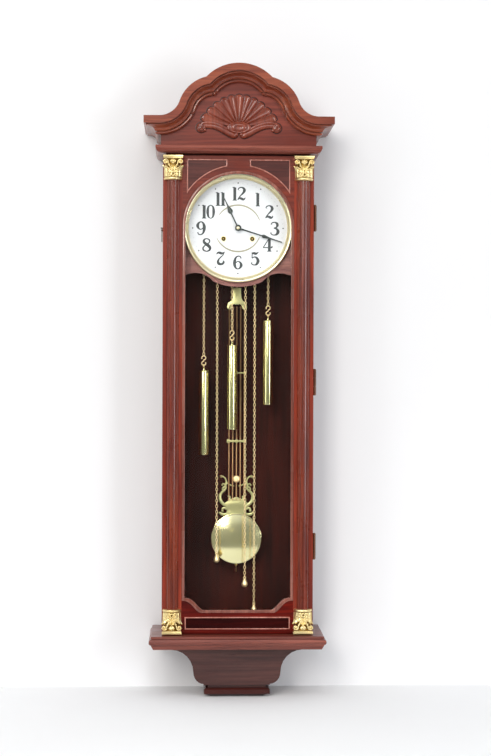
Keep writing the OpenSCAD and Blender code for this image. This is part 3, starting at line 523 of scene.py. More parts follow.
def grain_effect():
    """Mahogany figure along Z: broad ribbons, fine streaks and short pores."""
    group, start, end = effect(
        "Mahogany grain", [("Place", "NodeSocketVector", None), ("Size", "NodeSocketFloat", 1.0)],
        [("Ribbon", "NodeSocketFloat"), ("Streak", "NodeSocketFloat"),
         ("Pore", "NodeSocketFloat"), ("Height", "NodeSocketFloat")])
    place = sized_place(group, start)
    drift = noise(group, stretched(group, place, (1, 1, 0.6)), 3.0, 2.0)
    bend = group.nodes.new("ShaderNodeCombineXYZ")
    group.links.new(spread(group, drift, 0.0, 1.0, -0.02, 0.02), bend.inputs[0])
    bent = group.nodes.new("ShaderNodeVectorMath")
    bent.operation = "ADD"
    group.links.new(place, bent.inputs[0])
    group.links.new(bend.outputs[0], bent.inputs[1])
    bent = bent.outputs[0]
    ribbon = noise(group, stretched(group, bent, (1, 1, 0.11)), 26.0, 3.0)
    streak = noise(group, stretched(group, bent, (1, 1, 0.035)), 150.0, 4.0, 0.62)
    pore = noise(group, stretched(group, bent, (1, 1, 0.05)), 620.0, 2.0, 0.5)
    ribbon = spread(group, ribbon, 0.34, 0.66)
    streak = spread(group, streak, 0.36, 0.64)
    pore = spread(group, pore, 0.60, 0.72)
    height = sums(group, "SUBTRACT", share(group, streak, 0.35), pore)
    for label, value in (("Ribbon", ribbon), ("Streak", streak), ("Pore", pore), ("Height", height)):
        group.links.new(value, end.inputs[label])
    return group


def handling_effect():
    """Soft cloudy rubbing and fine dust that dulls a polish here and there."""
    group, start, end = effect(
        "Rubbing", [("Place", "NodeSocketVector", None), ("Size", "NodeSocketFloat", 1.0)],
        [("Cloud", "NodeSocketFloat"), ("Fine", "NodeSocketFloat")])
    place = sized_place(group, start)
    cloud = spread(group, noise(group, place, 14.0, 3.0), 0.35, 0.68)
    fine = spread(group, noise(group, place, 420.0, 3.0, 0.6), 0.4, 0.66)
    group.links.new(cloud, end.inputs["Cloud"])
    group.links.new(fine, end.inputs["Fine"])
    return group


def rgb(colour):
    """Linear colour of a screen colour code, or of a colour that a user picked."""
    if not isinstance(colour, str):
        return (*colour, 1.0)
    parts = [int(colour[i:i + 2], 16) / 255 for i in (1, 3, 5)]
    return tuple(c / 12.92 if c <= 0.04045 else ((c + 0.055) / 1.055) ** 2.4 for c in parts) + (1.0,)


def blank(name):
    """A material with its shader, and the place that its patterns read."""
    material = bpy.data.materials.new(name)
    material.use_nodes = True
    tree = material.node_tree
    shader = tree.nodes["Principled BSDF"]
    place = tree.nodes.new("ShaderNodeTexCoord").outputs["Object"]
    return material, tree, shader, place


def use_effect(tree, group, vector, size=1.0):
    """Places a shared effect in a material and gives back its outputs."""
    node = tree.nodes.new("ShaderNodeGroup")
    node.node_tree = group
    tree.links.new(vector, node.inputs["Place"])
    node.inputs["Size"].default_value = size
    return node.outputs


def bump(tree, shader, height, strength, distance=0.0004):
    """Relief on a shader from a height, with its depth in metres."""
    node = tree.nodes.new("ShaderNodeBump")
    node.inputs["Strength"].default_value = strength
    node.inputs["Distance"].default_value = distance
    tree.links.new(height, node.inputs["Height"])
    tree.links.new(node.outputs["Normal"], shader.inputs["Normal"])


def see_through(tree, shader, mask):
    """Lets light straight through a shader where the mask is 1."""
    clear = tree.nodes.new("ShaderNodeBsdfTransparent")
    mix = tree.nodes.new("ShaderNodeMixShader")
    tree.links.new(mask, mix.inputs[0])
    tree.links.new(shader.outputs[0], mix.inputs[1])
    tree.links.new(clear.outputs[0], mix.inputs[2])
    tree.links.new(mix.outputs[0], tree.nodes["Material Output"].inputs["Surface"])


def wood(name, light, middle, dark, across=False, size=1.0, polish=0.30, coat=0.35, shine=0.32):
    """Stained and lacquered mahogany; the grain runs up, or across the clock."""
    material, tree, shader, place = blank(name)
    turn = tree.nodes.new("ShaderNodeMapping")
    # Woods with longer and shorter names show different parts of the figure
    turn.inputs["Location"].default_value = (0.37 * len(name), 0.21, 0.13 * len(name))
    if across:
        turn.inputs["Rotation"].default_value = (0, math.radians(90), 0)
    tree.links.new(place, turn.inputs["Vector"])
    grain = use_effect(tree, kit["grain"], turn.outputs[0], size)
    rub = use_effect(tree, kit["rubbing"], turn.outputs[0])
    colour = blend_colour(tree, grain["Ribbon"], rgb(middle), rgb(light))
    colour = blend_colour(tree, share(tree, grain["Streak"], 0.62), colour, rgb(dark))
    colour = blend_colour(tree, share(tree, grain["Pore"], 0.5), colour, rgb("#2a0c08"))
    tree.links.new(colour, shader.inputs["Base Color"])
    rough = sums(tree, "ADD", share(tree, rub["Cloud"], 0.14), polish)
    rough = sums(tree, "ADD", rough, share(tree, grain["Pore"], 0.15))
    tree.links.new(rough, shader.inputs["Roughness"])
    shader.inputs["Coat Weight"].default_value = coat
    shader.inputs["Coat Roughness"].default_value = 0.10
    shader.inputs["Specular IOR Level"].default_value = shine
    bump(tree, shader, grain["Height"], 0.22)
    return material


def metal(name, colour, deep, rough, dull=0.12, tarnish=0.35, scratch=0.0):
    """Metal with cloudy tarnish, fine lint and a varying polish."""
    material, tree, shader, place = blank(name)
    rub = use_effect(tree, kit["rubbing"], place)
    mask = share(tree, rub["Cloud"], tarnish)
    base = blend_colour(tree, mask, rgb(colour), rgb(deep))
    base = blend_colour(tree, share(tree, rub["Fine"], tarnish * 0.3), base, rgb(deep))
    tree.links.new(base, shader.inputs["Base Color"])
    value = sums(tree, "ADD", share(tree, rub["Cloud"], dull), rough)
    value = sums(tree, "ADD", value, share(tree, rub["Fine"], dull * 0.4))
    tree.links.new(value, shader.inputs["Roughness"])
    shader.inputs["Metallic"].default_value = 1.0
    if scratch:
        bump(tree, shader, rub["Fine"], scratch, 0.0002)
    return material


def paint(name, colour, other, rough, coat=0.3, mottle=0.3, relief=0.05):
    """Enamel or ink with faint mottling."""
    material, tree, shader, place = blank(name)
    rub = use_effect(tree, kit["rubbing"], place, 1.6)
    base = blend_colour(tree, share(tree, rub["Cloud"], mottle), rgb(colour), rgb(other))
    tree.links.new(base, shader.inputs["Base Color"])
    value = sums(tree, "ADD", share(tree, rub["Fine"], 0.1), rough)
    tree.links.new(value, shader.inputs["Roughness"])
    shader.inputs["Coat Weight"].default_value = coat
    shader.inputs["Coat Roughness"].default_value = 0.1
    bump(tree, shader, rub["Fine"], relief, 0.0001)
    return material


def clear_glass(name):
    """Clear glass that lets lamp light straight through, with faint smears."""
    material, tree, shader, place = blank(name)
    rub = use_effect(tree, kit["rubbing"], place, 0.5)
    tint = blend_colour(tree, share(tree, rub["Cloud"], 0.5), (0.99, 1.0, 0.995, 1.0),
                        (0.975, 0.99, 0.98, 1.0))
    tree.links.new(tint, shader.inputs["Base Color"])
    shader.inputs["Roughness"].default_value = 0.0
    shader.inputs["Metallic"].default_value = 0.0
    shader.inputs["Transmission Weight"].default_value = 1.0
    shader.inputs["IOR"].default_value = 1.2
    path = tree.nodes.new("ShaderNodeLightPath")
    see_through(tree, shader, path.outputs["Is Shadow Ray"])
    return material


# The finishes and shared effects, by name, once they are made
kit = {}


# Values that a user would change


class ClockColours(bpy.types.PropertyGroup):
    """Colours of the woods, the dial and the gilding"""

    door_light: bpy.props.FloatVectorProperty(
        name="Door wood, light", description="Colour of the light ribbons in the door's wood",
        subtype="COLOR", size=3, min=0.0, max=1.0, default=rgb("#9e3616")[:3])
    door_dark: bpy.props.FloatVectorProperty(
        name="Door wood, dark", description="Colour of the dark streaks in the door's wood",
        subtype="COLOR", size=3, min=0.0, max=1.0, default=rgb("#4a110b")[:3])
    crown_light: bpy.props.FloatVectorProperty(
        name="Crown wood, light", description="Colour of the light ribbons in the crown's wood",
        subtype="COLOR", size=3, min=0.0, max=1.0, default=rgb("#a05234")[:3])
    plinth_light: bpy.props.FloatVectorProperty(
        name="Plinth wood, light", description="Colour of the light ribbons in the plinth's wood",
        subtype="COLOR", size=3, min=0.0, max=1.0, default=rgb("#945040")[:3])
    dial_white: bpy.props.FloatVectorProperty(
        name="Dial", description="Colour of the dial's enamel",
        subtype="COLOR", size=3, min=0.0, max=1.0, default=rgb("#cacccf")[:3])
    gilt: bpy.props.FloatVectorProperty(
        name="Gilding", description="Colour of the capitals",
        subtype="COLOR", size=3, min=0.0, max=1.0, default=rgb("#f5e4ac")[:3])


class ClockSizes(bpy.types.PropertyGroup):
    """Sizes of the finer pieces, and the lamps' power"""

    link_width: bpy.props.FloatProperty(
        name="Link width", description="Outer width of a chain link", default=0.0052,
        min=0.003, max=0.008, unit="LENGTH", subtype="DISTANCE")
    link_step: bpy.props.FloatProperty(
        name="Link step", description="Length of one step of the chain", default=0.0059,
        min=0.004, max=0.012, unit="LENGTH", subtype="DISTANCE")
    numeral_height: bpy.props.FloatProperty(
        name="Numeral height", description="Height of the dial's numerals", default=0.028,
        min=0.015, max=0.032, unit="LENGTH", subtype="DISTANCE")
    rib_depth: bpy.props.FloatProperty(
        name="Flute depth", description="Depth of the shell's flutes", default=0.0034,
        min=0.001, max=0.004, unit="LENGTH", subtype="DISTANCE")
    lamp_power: bpy.props.FloatProperty(
        name="Lamp power", description="Power of the left front lamp", default=78.0,
        min=0.0, unit="POWER")


def make_finishes(colours):
    """All the materials, by the name of their finish."""
    kit["grain"] = grain_effect()
    kit["rubbing"] = handling_effect()
    kit.update({
        "door": wood("Door mahogany", colours.door_light, "#7c210d", colours.door_dark),
        "rail": wood("Rail mahogany", "#8a3826", "#6c2415", "#430f0a", True),
        # The lower rail's much darker colours are painted shade for the low, dimmer part of the door
        "low_rail_painted_shade": wood("Lower rail mahogany", "#7c1404", "#4a0703", "#220202", True, coat=0.1,
                         shine=0.12),
        "side": wood("Side mahogany", "#742c1c", "#581b10", "#380d08"),
        "column": wood("Column mahogany", "#8e3a1e", "#6a1f10", "#380b07", size=1.3, polish=0.24),
        "crown": wood("Upper mahogany", colours.crown_light, "#84371f", "#5c1e12", True,
                      polish=0.28, coat=0.5),
        "field": wood("Upper field mahogany", "#8a3c2c", "#722a1c", "#4c160e", True),
        "carving": wood("Carved mahogany", "#9c4e38", "#7a3322", "#4e1a10", size=1.2, polish=0.22,
                        coat=0.7),
        # Near-black wood for the flat sheets round the shell: painted shadow of its undercut edges
        "recess_painted_shadow": wood("Recess stain", "#3a0f0a", "#2c0a07", "#1c0504", True, coat=0.1),
        "neck": wood("Neck mahogany", "#96503f", "#7a3529", "#4f1a14", True),
        "plinth": wood("Plinth mahogany", colours.plinth_light, "#70342a", "#431713", True,
                       polish=0.28),
        "foot": wood("Foot mahogany", "#4c1a13", "#340f0a", "#1c0705", True, shine=0.16),
        "bracket": wood("Bracket mahogany", "#5c342d", "#45211c", "#2c110f", True, polish=0.34),
        "inside": wood("Back board veneer", "#3e140c", "#280b07", "#140503", size=0.7,
                       polish=0.38, coat=0.05, shine=0.07),
        "inset": wood("Spandrel veneer", "#602c25", "#4a1b16", "#2c0d0b", True, size=1.4),
        # The base panel's veneer is darker than the spandrels', and darker still as painted shade for the low part of
        # the door
        "base_inset_and_shade": wood("Base veneer", "#380604", "#260302", "#160101", True, size=1.4, polish=0.5,
                           coat=0.04, shine=0.05),
        "mask": wood("Mask veneer", "#9b6a60", "#84544b", "#65393b", True, size=0.9, polish=0.36),
        # The pale pink of the bead and lip woods is painted highlight along these rounded edges
        "bead": wood("Bead mahogany", "#c9897a", "#b3705f", "#8b4536", polish=0.2, coat=0.8),
        "lip": wood("Lip mahogany", "#9c6050", "#7c4031", "#52241b", polish=0.2, coat=0.8),
        "gilt": metal("Gilt casting", colours.gilt, "#cda450", 0.30, 0.14, 0.5, 0.2),
        # Darker gilt for the bell behind the capitals' leaves: painted shade in the hollows between the leaves
        "gilt_painted_shade": metal("Gilt with painted shade", "#a07c38", "#6e5220", 0.42, 0.14, 0.5, 0.2),
        "brass": metal("Polished brass", "#e6cf8c", "#b79a4c", 0.10, 0.08, 0.4),
        "tube": metal("Weight brass", "#e4dfa6", "#c0b572", 0.12, 0.08, 0.4),
        "bob": metal("Bob brass", "#f9f2c0", "#e0d388", 0.12, 0.05, 0.3),
        "lyre": metal("Lyre brass", "#bab683", "#837f4c", 0.32, 0.14, 0.5, 0.15),
        "chain": metal("Chain brass", "#f6dfae", "#cfae74", 0.42, 0.12, 0.2),
        "rod": metal("Rod brass", "#a5835c", "#6c4a32", 0.30, 0.10, 0.4),
        "bezel": metal("Bezel gilt", "#efe5c0", "#cdb97c", 0.26, 0.10, 0.3, 0.05),
        "works": metal("Movement brass", "#c9a95e", "#8f7032", 0.30, 0.14, 0.5, 0.1),
        "hinge": metal("Stained hinge brass", "#84604c", "#54382c", 0.36, 0.14, 0.5, 0.1),
        "steel": metal("Bright steel", "#b9bab8", "#7f807e", 0.28, 0.14, 0.4, 0.1),
        "blued": metal("Blued steel", "#26262a", "#141416", 0.34, 0.14, 0.5, 0.1),
        "dark_steel": metal("Dark steel", "#6b665f", "#3f3a34", 0.34, 0.14, 0.5, 0.1),
        "enamel": paint("Dial enamel", colours.dial_white, "#c2c5ca", 0.3, 0.4, 0.35),
        "ink": paint("Numeral ink", "#22292b", "#2f383a", 0.42, 0.2),
        "minute_ink": paint("Minute ink", "#8d9298", "#a4a8ac", 0.5, 0.1),
        "line_gilt": paint("Dial line gilt", "#908c74", "#78745c", 0.42, 0.2),
        "hand": paint("Hand enamel", "#272e2c", "#3a4240", 0.28, 0.6),
        "glass": clear_glass("Door glass"),
    })


class CLOCK_OT_finishes(bpy.types.Operator):
    """Makes the finishes and gives them to the rigid pieces that are kept"""

    bl_idname = "clock.finishes"
    bl_label = "Finishes"

    def execute(self, context):
        make_finishes(context.scene.clock_colours)
        kept = {
            "side": ["left_side", "right_side", "crown_sides", "top_board", "bottom_board"],
            "inside": ["back_board"],
            "plinth": ["plinth"],
            "foot": ["foot"],
            "bracket": ["bracket_front", "bracket_sides", "bracket_waist"],
            "neck": ["neck_moulding"],
            "crown": ["crown_moulding", "crown_returns"],
            "field": ["crown_field"],
            "door": ["door_left_stile", "door_right_stile", "glazing_strips"],
            "rail": ["door_top_rail"],
            "low_rail_painted_shade": ["door_bottom_rail"],
            "column": ["left_column", "right_column"],
            "mask": ["mask_board"],
            "glass": ["door_glass"],
            "enamel": ["dial"],
            "hinge": ["door_hinge_leaves", "case_hinges"],
            "dark_steel": ["latch_hook", "latch_eye", "chime_rods", "hanger_plate"],
            "blued": ["time_winder", "strike_winder"],
            "steel": ["movement_brackets", "crutch"],
            "works": ["movement_plates", "movement_pillars", "time_barrel", "strike_barrel",
                      "left_hammer", "right_hammer", "sheave_bar"],
            "bezel": ["winding_bushes"],
        }
        for finish_name, nodes in kept.items():
            for node in nodes:
                piece = frame["nodes"][node]
                piece.data.materials.clear()
                piece.data.materials.append(kit[finish_name])
        return {"FINISHED"}


# Crown


class CLOCK_OT_shell(bpy.types.Operator):
    """Carves the fluted shell with its arms, scrolls and hub, and lays dark painted shadow round it"""

    bl_idname = "clock.shell"
    bl_label = "Carved shell"

    def execute(self, context):
        depth = context.scene.clock_sizes.rib_depth * 1000
        cx, cz = SHELL_MIDDLE
        middle = at(cx, 0, cz)
        parts = [self.fan(depth)]
        # Slightly larger dark copies of the arms, the scroll bosses and the fan become painted shadow round the
        # carving
        shadow_sheets = []
        for s in (-1, 1):
            for line, radius in (
                ([(2.5, -16.5, 0.4), (8, -16.8, 0.9), (14, -15.4, 1.0), (24, -10.6, 0.95),
                  (35, -4.6, 0.9), (48, 0.8, 0.82), (60, 2.8, 0.74), (72, 2.8, 0.7)], 6.4),
                ([(10, -9.0, 0.5), (22, -4.6, 0.8), (35, 2.0, 0.9), (48, 7.0, 0.85), (62, 9.4, 0.8),
                  (74, 8.4, 0.7), (82, 4.6, 0.5)], 5.2),
            ):
                points = [(mm(cx + s * x), mm(SHELL_BOARD), mm(cz + z - HANGER_UP), w)
                          for x, z, w in smooth_line(line, 6)]
                parts.append(wire("shell_arm", [points], mm(radius), sides=5))
                shadow_sheets.append(wire("shell_arm_shadow", [points], mm(radius + 1.7), sides=3))
            for x, z, r, out in ((*SCROLL, 10.2, 0.0), (70.2, -5.6, 3.4, 1.6), (5.4, -14.6, 4.2, 2.6)):
                parts.append(self.boss(s * x, z, r, out))
            shadow_sheets.append(self.boss(s * SCROLL[0], SCROLL[1], 11.8, 0.0))
            parts.append(self.scroll(s))
        hub = turned("shell_hub", [(0, 5.2), (2.2, 5.4), (5, 6.8), (8, 7.4), (11, 7.0), (12.8, 5.6),
                                   (13.8, 5.0), (15.0, 5.8), (17.2, 6.2), (19.0, 5.4), (20, 3.4),
                                   (20, -0.3), (0, -0.3)], at(cx, SHELL_BOARD, cz), "Y", 64)
        parts.append(widened(hub, middle, 1.28, 0.61))
        fan_shadow = widened(self.fan(depth), middle, 1.03, 1.03)
        finish(join("carved_shell", parts), "case", "carving_wood", kit["carving"],
               ["shell_carving"], 40)
        # The dark sheets are pressed nearly flat onto the board: painted shadow along the carving's edges
        flat = join("shell_painted_shadow", [fan_shadow, *shadow_sheets])
        board = mm(SHELL_BOARD)
        shape(flat, lambda co: Vector((co.x, board + (co.y - board) * 0.05, co.z)))
        finish(flat, "case", "carving_wood", kit["recess_painted_shadow"], angle=40)
        return {"FINISHED"}

    def boss(self, x, z, r, out):
        """Flattened bead on the board, from the shell's middle."""
        cx, cz = SHELL_MIDDLE
        return ball(r, at(cx + x, SHELL_BOARD - out, cz + z), 28, 16, min(1.0, 5.4 / r))

    def scroll(self, s):
        """Raised coil on the boss at an arm's end, on the left (-1) or the right (1)."""
        cx, cz = SHELL_MIDDLE
        last = 27
        coil = []
        for i in range(last + 1):
            t = i / last
            a = math.radians(20 + 430 * t)
            r = 7.4 * (1 - 0.72 * t)
            x = cx + s * (SCROLL[0] - r * math.sin(a))
            z = cz + SCROLL[1] + r * math.cos(a)
            coil.append((mm(x), mm(SHELL_BOARD - 4.6 - 2.2 * t), mm(z - HANGER_UP), 1.0 - 0.4 * t))
        return wire("shell_coil", [coil], mm(1.5), sides=3)

    def fan(self, depth):
        """Eleven hollow flutes between sharp ridges, with round ends."""
        ribs = 11
        # Half of the fan's angle in degrees, and the radii across and up that the flutes start from
        reach = 80.0
        hub_across, hub_up = 23.4, 10.4
        # Length of the middle flute, what the outer ones have more, and the depth of the round ends
        short, more, scallop = 68.6, 14.0, 7.4
        cx, cz = SHELL_MIDDLE
        put_down()
        bpy.ops.mesh.primitive_grid_add(x_subdivisions=ribs * 16, y_subdivisions=44, size=2)
        fan = bpy.context.object
        fan.name = "shell_fan"

        def flute(co):
            # u runs from -1 to 1 across a flute, t from 0 to 1 along it
            across = (co.x + 1) / 2 * ribs
            u = 2 * (across - math.floor(min(across, ribs - 0.0001))) - 1
            a = -reach + 2 * reach * (co.x + 1) / 2
            angle = math.radians(a)
            start = 1 / math.hypot(math.sin(angle) / hub_across, math.cos(angle) / hub_up)
            long = short + more * (abs(a) / reach) ** 3
            end = long - scallop * (1 - math.sqrt(max(0.0, 1 - u * u * 0.97)))
            t = (co.y + 1) / 2
            r = start + (end - start) * (1 - (1 - t) ** 1.25)
            from_end = end - r
            high = 4.6 + 0.8 * (r / long) + depth * (abs(u) ** 2.8 - 0.8)
            edge = min(1.0, from_end / 1.6)
            lip = math.exp(-((from_end - 2.2) / 1.4) ** 2) * (1 - abs(u) ** 2)
            high = (high + 1.1 * lip) * (0.35 + 0.65 * math.sqrt(max(0.0, 1 - (1 - edge) ** 2)))
            side = min(1.0, (1 - abs(co.x)) * ribs / 2 / 0.3)
            high *= 0.45 + 0.55 * side
            return at(cx + r * math.sin(angle), SHELL_BOARD - high, cz + r * math.cos(angle))

        shape(fan, flute)
        work_on(fan, "EDGE")
        bpy.ops.mesh.select_all(action="DESELECT")
        bpy.ops.mesh.select_non_manifold(extend=False, use_boundary=True, use_wire=False,
                                         use_multi_face=False, use_non_contiguous=False,
                                         use_verts=False)
        bpy.ops.mesh.extrude_region_move()
        bpy.ops.transform.resize(value=(1, 0, 1), center_override=at(0, SHELL_BOARD + 0.3, cz))
        bpy.ops.mesh.edge_face_add()
        bpy.ops.object.mode_set(mode="OBJECT")
        return knit(fan, 0.0000005)


# Door


class CLOCK_OT_door_trim(bpy.types.Operator):
    """Rounds the door's lip and panel beads, whose pale woods are painted highlight, and lays the darker panels"""

    bl_idname = "clock.door_trim"
    bl_label = "Door trim"

    def execute(self, context):
        # Lip and beads take the pale woods whose colour is painted highlight
        lip = softened("door_lip", "door_lip_rounded", 1.3, 3, 50)
        finish(lip, "door", "bead_wood", kit["lip"], ["door_lip"], 40)
        beads = softened("panel_beads", "panel_beads_rounded", 1.0, 3, 50)
        finish(beads, "door", "bead_wood", kit["bead"], ["panel_beads"], 40)
        thin = 0.6
        front = DOOR_FACE - thin / 2
        left = -105.5
        end = -24.0
        top = 1108.0
        reach = 127.0
        from_angle = math.degrees(math.asin(end / reach))
        to_angle = math.degrees(math.asin(left / reach))
        arc = ring_line(0, DIAL_UP, reach, from_angle, to_angle, 20)
        panel = plate("left_spandrel", [(left, top), (end, top)] + arc, front, thin)
        other = shifted(panel, "right_spandrel", Matrix.Diagonal((-1, 1, 1, 1)))
        spandrels = join("spandrel_panels", [panel, other])
        finish(spandrels, "door", "veneer", kit["inset"])
        # Its very dark veneer is partly painted shade
        base = plate("base_panel", [(-107.5, 142), (107.5, 142), (107.5, 166), (-107.5, 166)], front,
                     thin)
        finish(base, "door", "veneer", kit["base_inset_and_shade"])
        return {"FINISHED"}


def leaf_sheet(wide, tall, curl):
    """Acanthus leaf standing on the origin, with ribs, a lobed edge and a curled tip."""
    put_down()
    bpy.ops.mesh.primitive_grid_add(x_subdivisions=10, y_subdivisions=14, size=2)
    leaf = bpy.context.object
    leaf.name = "capital_leaf"

    def bend(co):
        # t runs from 0 to 1 up the leaf, u from -1 to 1 across it
        t = (co.y + 1) / 2
        u = co.x
        half = wide / 2 * (0.62 + 0.55 * math.sin(math.pi * min(1.0, t * 1.05)) ** 0.8)
        half *= math.sqrt(max(0.0, 1 - max(0.0, (t - 0.72) / 0.28) ** 2.4)) * 0.96 + 0.04
        half *= 1 + 0.14 * math.sin(t * math.pi * 5.5)
        rise = tall * t
        out = 0.5 + 0.9 * math.cos(u * math.pi * 2.5) * (0.35 + 0.65 * t) * (1 - 0.3 * abs(u))
        out += 0.8 * (1 - abs(u)) ** 2
        over = max(0.0, (t - 0.62) / 0.38)
        out += curl * over ** 1.6
        rise -= curl * 0.55 * over ** 3
        out -= 0.8 * u * u
        return Vector((mm(u * half), -mm(out), mm(rise)))

    shape(leaf, bend)
    modify(leaf, "SOLIDIFY", thickness=mm(1.1), offset=-1)
    return leaf


def capital_ribbon(points, width):
    """A raised rib on the capital through points in X, Y, Z and width, in millimetres."""
    line = [(mm(x), -mm(y), mm(z), w) for x, y, z, w in smooth_line(points, 5)]
    return wire("capital_rib", [line], mm(width), sides=3)


def capital_bead(x, y, z, r):
    """A bead on the capital at X, Y and Z, in millimetres."""
    return ball(r, (mm(x), -mm(y), mm(z)), 14, 10)


def flat_backed(piece):
    """Cuts a piece off at the face that it stands on, just in front of y = 0."""
    settle(piece)
    work_on(piece)
    bpy.ops.mesh.bisect(plane_co=(0, -mm(0.05), 0), plane_no=(0, 1, 0), clear_outer=True,
                        use_fill=True)
    bpy.ops.object.mode_set(mode="OBJECT")
    return piece


def capital_core():
    """The bell behind a capital's leaves, in darker gilt as painted shade between them, standing on z = 0 with its
    back on y = 0.
    """
    bell = turned("capital_core", [
        (0, 6.2), (16.0, 6.2), (16.2, 10), (16.6, 14), (16.4, 20), (15.8, 27), (15.2, 33),
        (15.2, 38), (15.8, 42), (16.8, 43.6), (0, 43.6)], Vector((0, 0, 0)), "Z", 48)
    return flat_backed(bell)


def capital_piece():
    """One capital's gilt leaves, ribs and slab on z = 0 with their back on y = 0, in metres."""
    origin = Vector((0, 0, 0))
    eye_x, eye_z = 15.2, 36.4
    last = 39
    parts = [turned("capital_foot", [
        (0, 0), (17.6, 0), (18.6, 0.6), (19.2, 1.8), (19.3, 3.2), (18.8, 4.6), (17.6, 5.6),
        (16.6, 6.3), (0, 6.3)], origin, "Z", 56)]
    for angle, wide, tall, low, curl in (
            (0, 6.4, 13.0, 19.0, 2.2), (-27, 10.0, 19.0, 6.4, 3.0), (27, 10.0, 19.0, 6.4, 3.0),
            (-52, 11.0, 24.0, 6.4, 3.4), (52, 11.0, 24.0, 6.4, 3.4), (-80, 11.0, 26.0, 6.4, 3.2),
            (80, 11.0, 26.0, 6.4, 3.2), (-14, 7.4, 14.0, 16.0, 2.4), (14, 7.4, 14.0, 16.0, 2.4)):
        leaf = leaf_sheet(wide, tall, curl)
        leaf.data.transform(Matrix.Rotation(math.radians(angle), 4, "Z")
                            @ Matrix.Translation((0, -mm(17.0), mm(low))))
        parts.append(leaf)
    for i in range(5):
        a = math.radians(-64 + 32 * i)
        parts.append(capital_ribbon([(0.6 * math.sin(a), 16.4, 33.0, 0.6),
                                     (4.4 * math.sin(a), 17.6, 35.0 + 3.0 * math.cos(a), 1.0),
                                     (6.4 * math.sin(a), 18.0, 35.6 + 6.4 * math.cos(a), 0.7)], 1.5))
    parts.append(capital_bead(0, 17.4, 33.4, 2.2))
    ring = [(mm(x), -mm(18.2), mm(z), 1.0) for x, z in ring_line(0, 11.4, 3.4, 0, 342, 19)]
    parts.append(wire("capital_ring", [ring], mm(1.35), True, sides=3))
    for s in (-1, 1):
        coil = []
        for i in range(last + 1):
            t = i / last
            a = math.radians(200 - 560 * t)
            r = 5.2 * (1 - 0.78 * t)
            coil.append((s * (eye_x + r * math.cos(a)), eye_z + r * math.sin(a), 1.0 - 0.25 * t))
        stem = smooth_line([(s * 2.6, 17.5, 0.6), (s * 5.6, 25.0, 0.9), (s * 8.8, 32.0, 1.0),
                            (coil[0][0], coil[0][1], 1.0)], 5)
        line = [(mm(x), -mm(15.8 + 3.0 * min(1, abs(x) / 14)), mm(z), w)
                for x, z, w in stem[:-1] + coil]
        parts.append(wire("capital_volute", [line], mm(1.5), sides=3))
        parts.append(capital_bead(s * eye_x, 19.0, eye_z, 2.2))
        parts.append(capital_ribbon([(s * 2.0, 17.4, 20.5, 0.6), (s * 6.4, 18.4, 15.4, 0.9),
                                     (s * 10.4, 16.4, 13.0, 0.9), (s * 14.0, 13.2, 14.4, 0.6)], 1.3))
        parts.append(capital_ribbon([(s * 2.2, 17.0, 21.5, 0.6), (s * 8.0, 17.4, 22.0, 0.9),
                                     (s * 12.6, 15.2, 26.0, 0.9), (s * 15.6, 12.4, 31.0, 0.6)], 1.3))
        parts.append(capital_ribbon([(s * 18.4, 15.6, 37.5, 1.0), (s * 19.6, 11.0, 38.6, 1.0),
                                     (s * 18.8, 6.0, 37.0, 0.8), (s * 16.6, 2.0, 33.0, 0.6)], 1.7))
        for x, y, z, r in ((9.6, 16.6, 29.5, 1.2), (12.6, 14.4, 19.5, 1.2), (6.2, 17.8, 9.4, 1.3)):
            parts.append(capital_bead(s * x, y, z, r))
    half = 20.2
    hollow = []
    for i in range(13):
        t = i / 12
        hollow.append((-half + 2 * half * t, 19.6 - 1.4 * math.sin(math.pi * t)))
    for low, thick, grow in ((43.5, 2.0, -0.9), (45.5, 4.5, 0.0)):
        outline = [(mm(x * (1 + grow / 20)), mm(y + grow)) for x, y in hollow]
        outline += [(mm(half + grow), 0.0), (-mm(half + grow), 0.0)]
        slab = filled("capital_slab", outline, thick, 0.5)
        slab.scale = (1, -1, 1)
        slab.location = (0, 0, mm(low + thick / 2))
        settle(slab)
        parts.append(knit(slab, 0.000001))
    return flat_backed(join("capital", parts))


class CLOCK_OT_capitals(bpy.types.Operator):
    """Casts the four gilt capitals with their leaves and volutes"""

    bl_idname = "clock.capitals"
    bl_label = "Capitals"

    def execute(self, context):
        way = {"upper": Matrix.Identity(4), "lower": Matrix.Diagonal((1, 1, -1, 1))}
        # The bell behind the leaves takes the darker gilt as painted shade
        for model, part, look in ((capital_piece(), "leaves", "gilt"),
                                  (capital_core(), "core", "gilt_painted_shade")):
            for row, high in CAPITAL_UP.items():
                pair = [shifted(model, "capital_part",
                                Matrix.Translation(at(s * CAPITAL_SIDE, DOOR_FACE, high)) @ way[row])
                        for s in (-1, 1)]
                node = [row + "_capitals"] if part == "leaves" else []
                finish(join(row + "_capital_" + part, pair), "door", "gilt", kit[look], node, 40)
            take(model)
            bpy.ops.object.delete()
        return {"FINISHED"}


# Dial


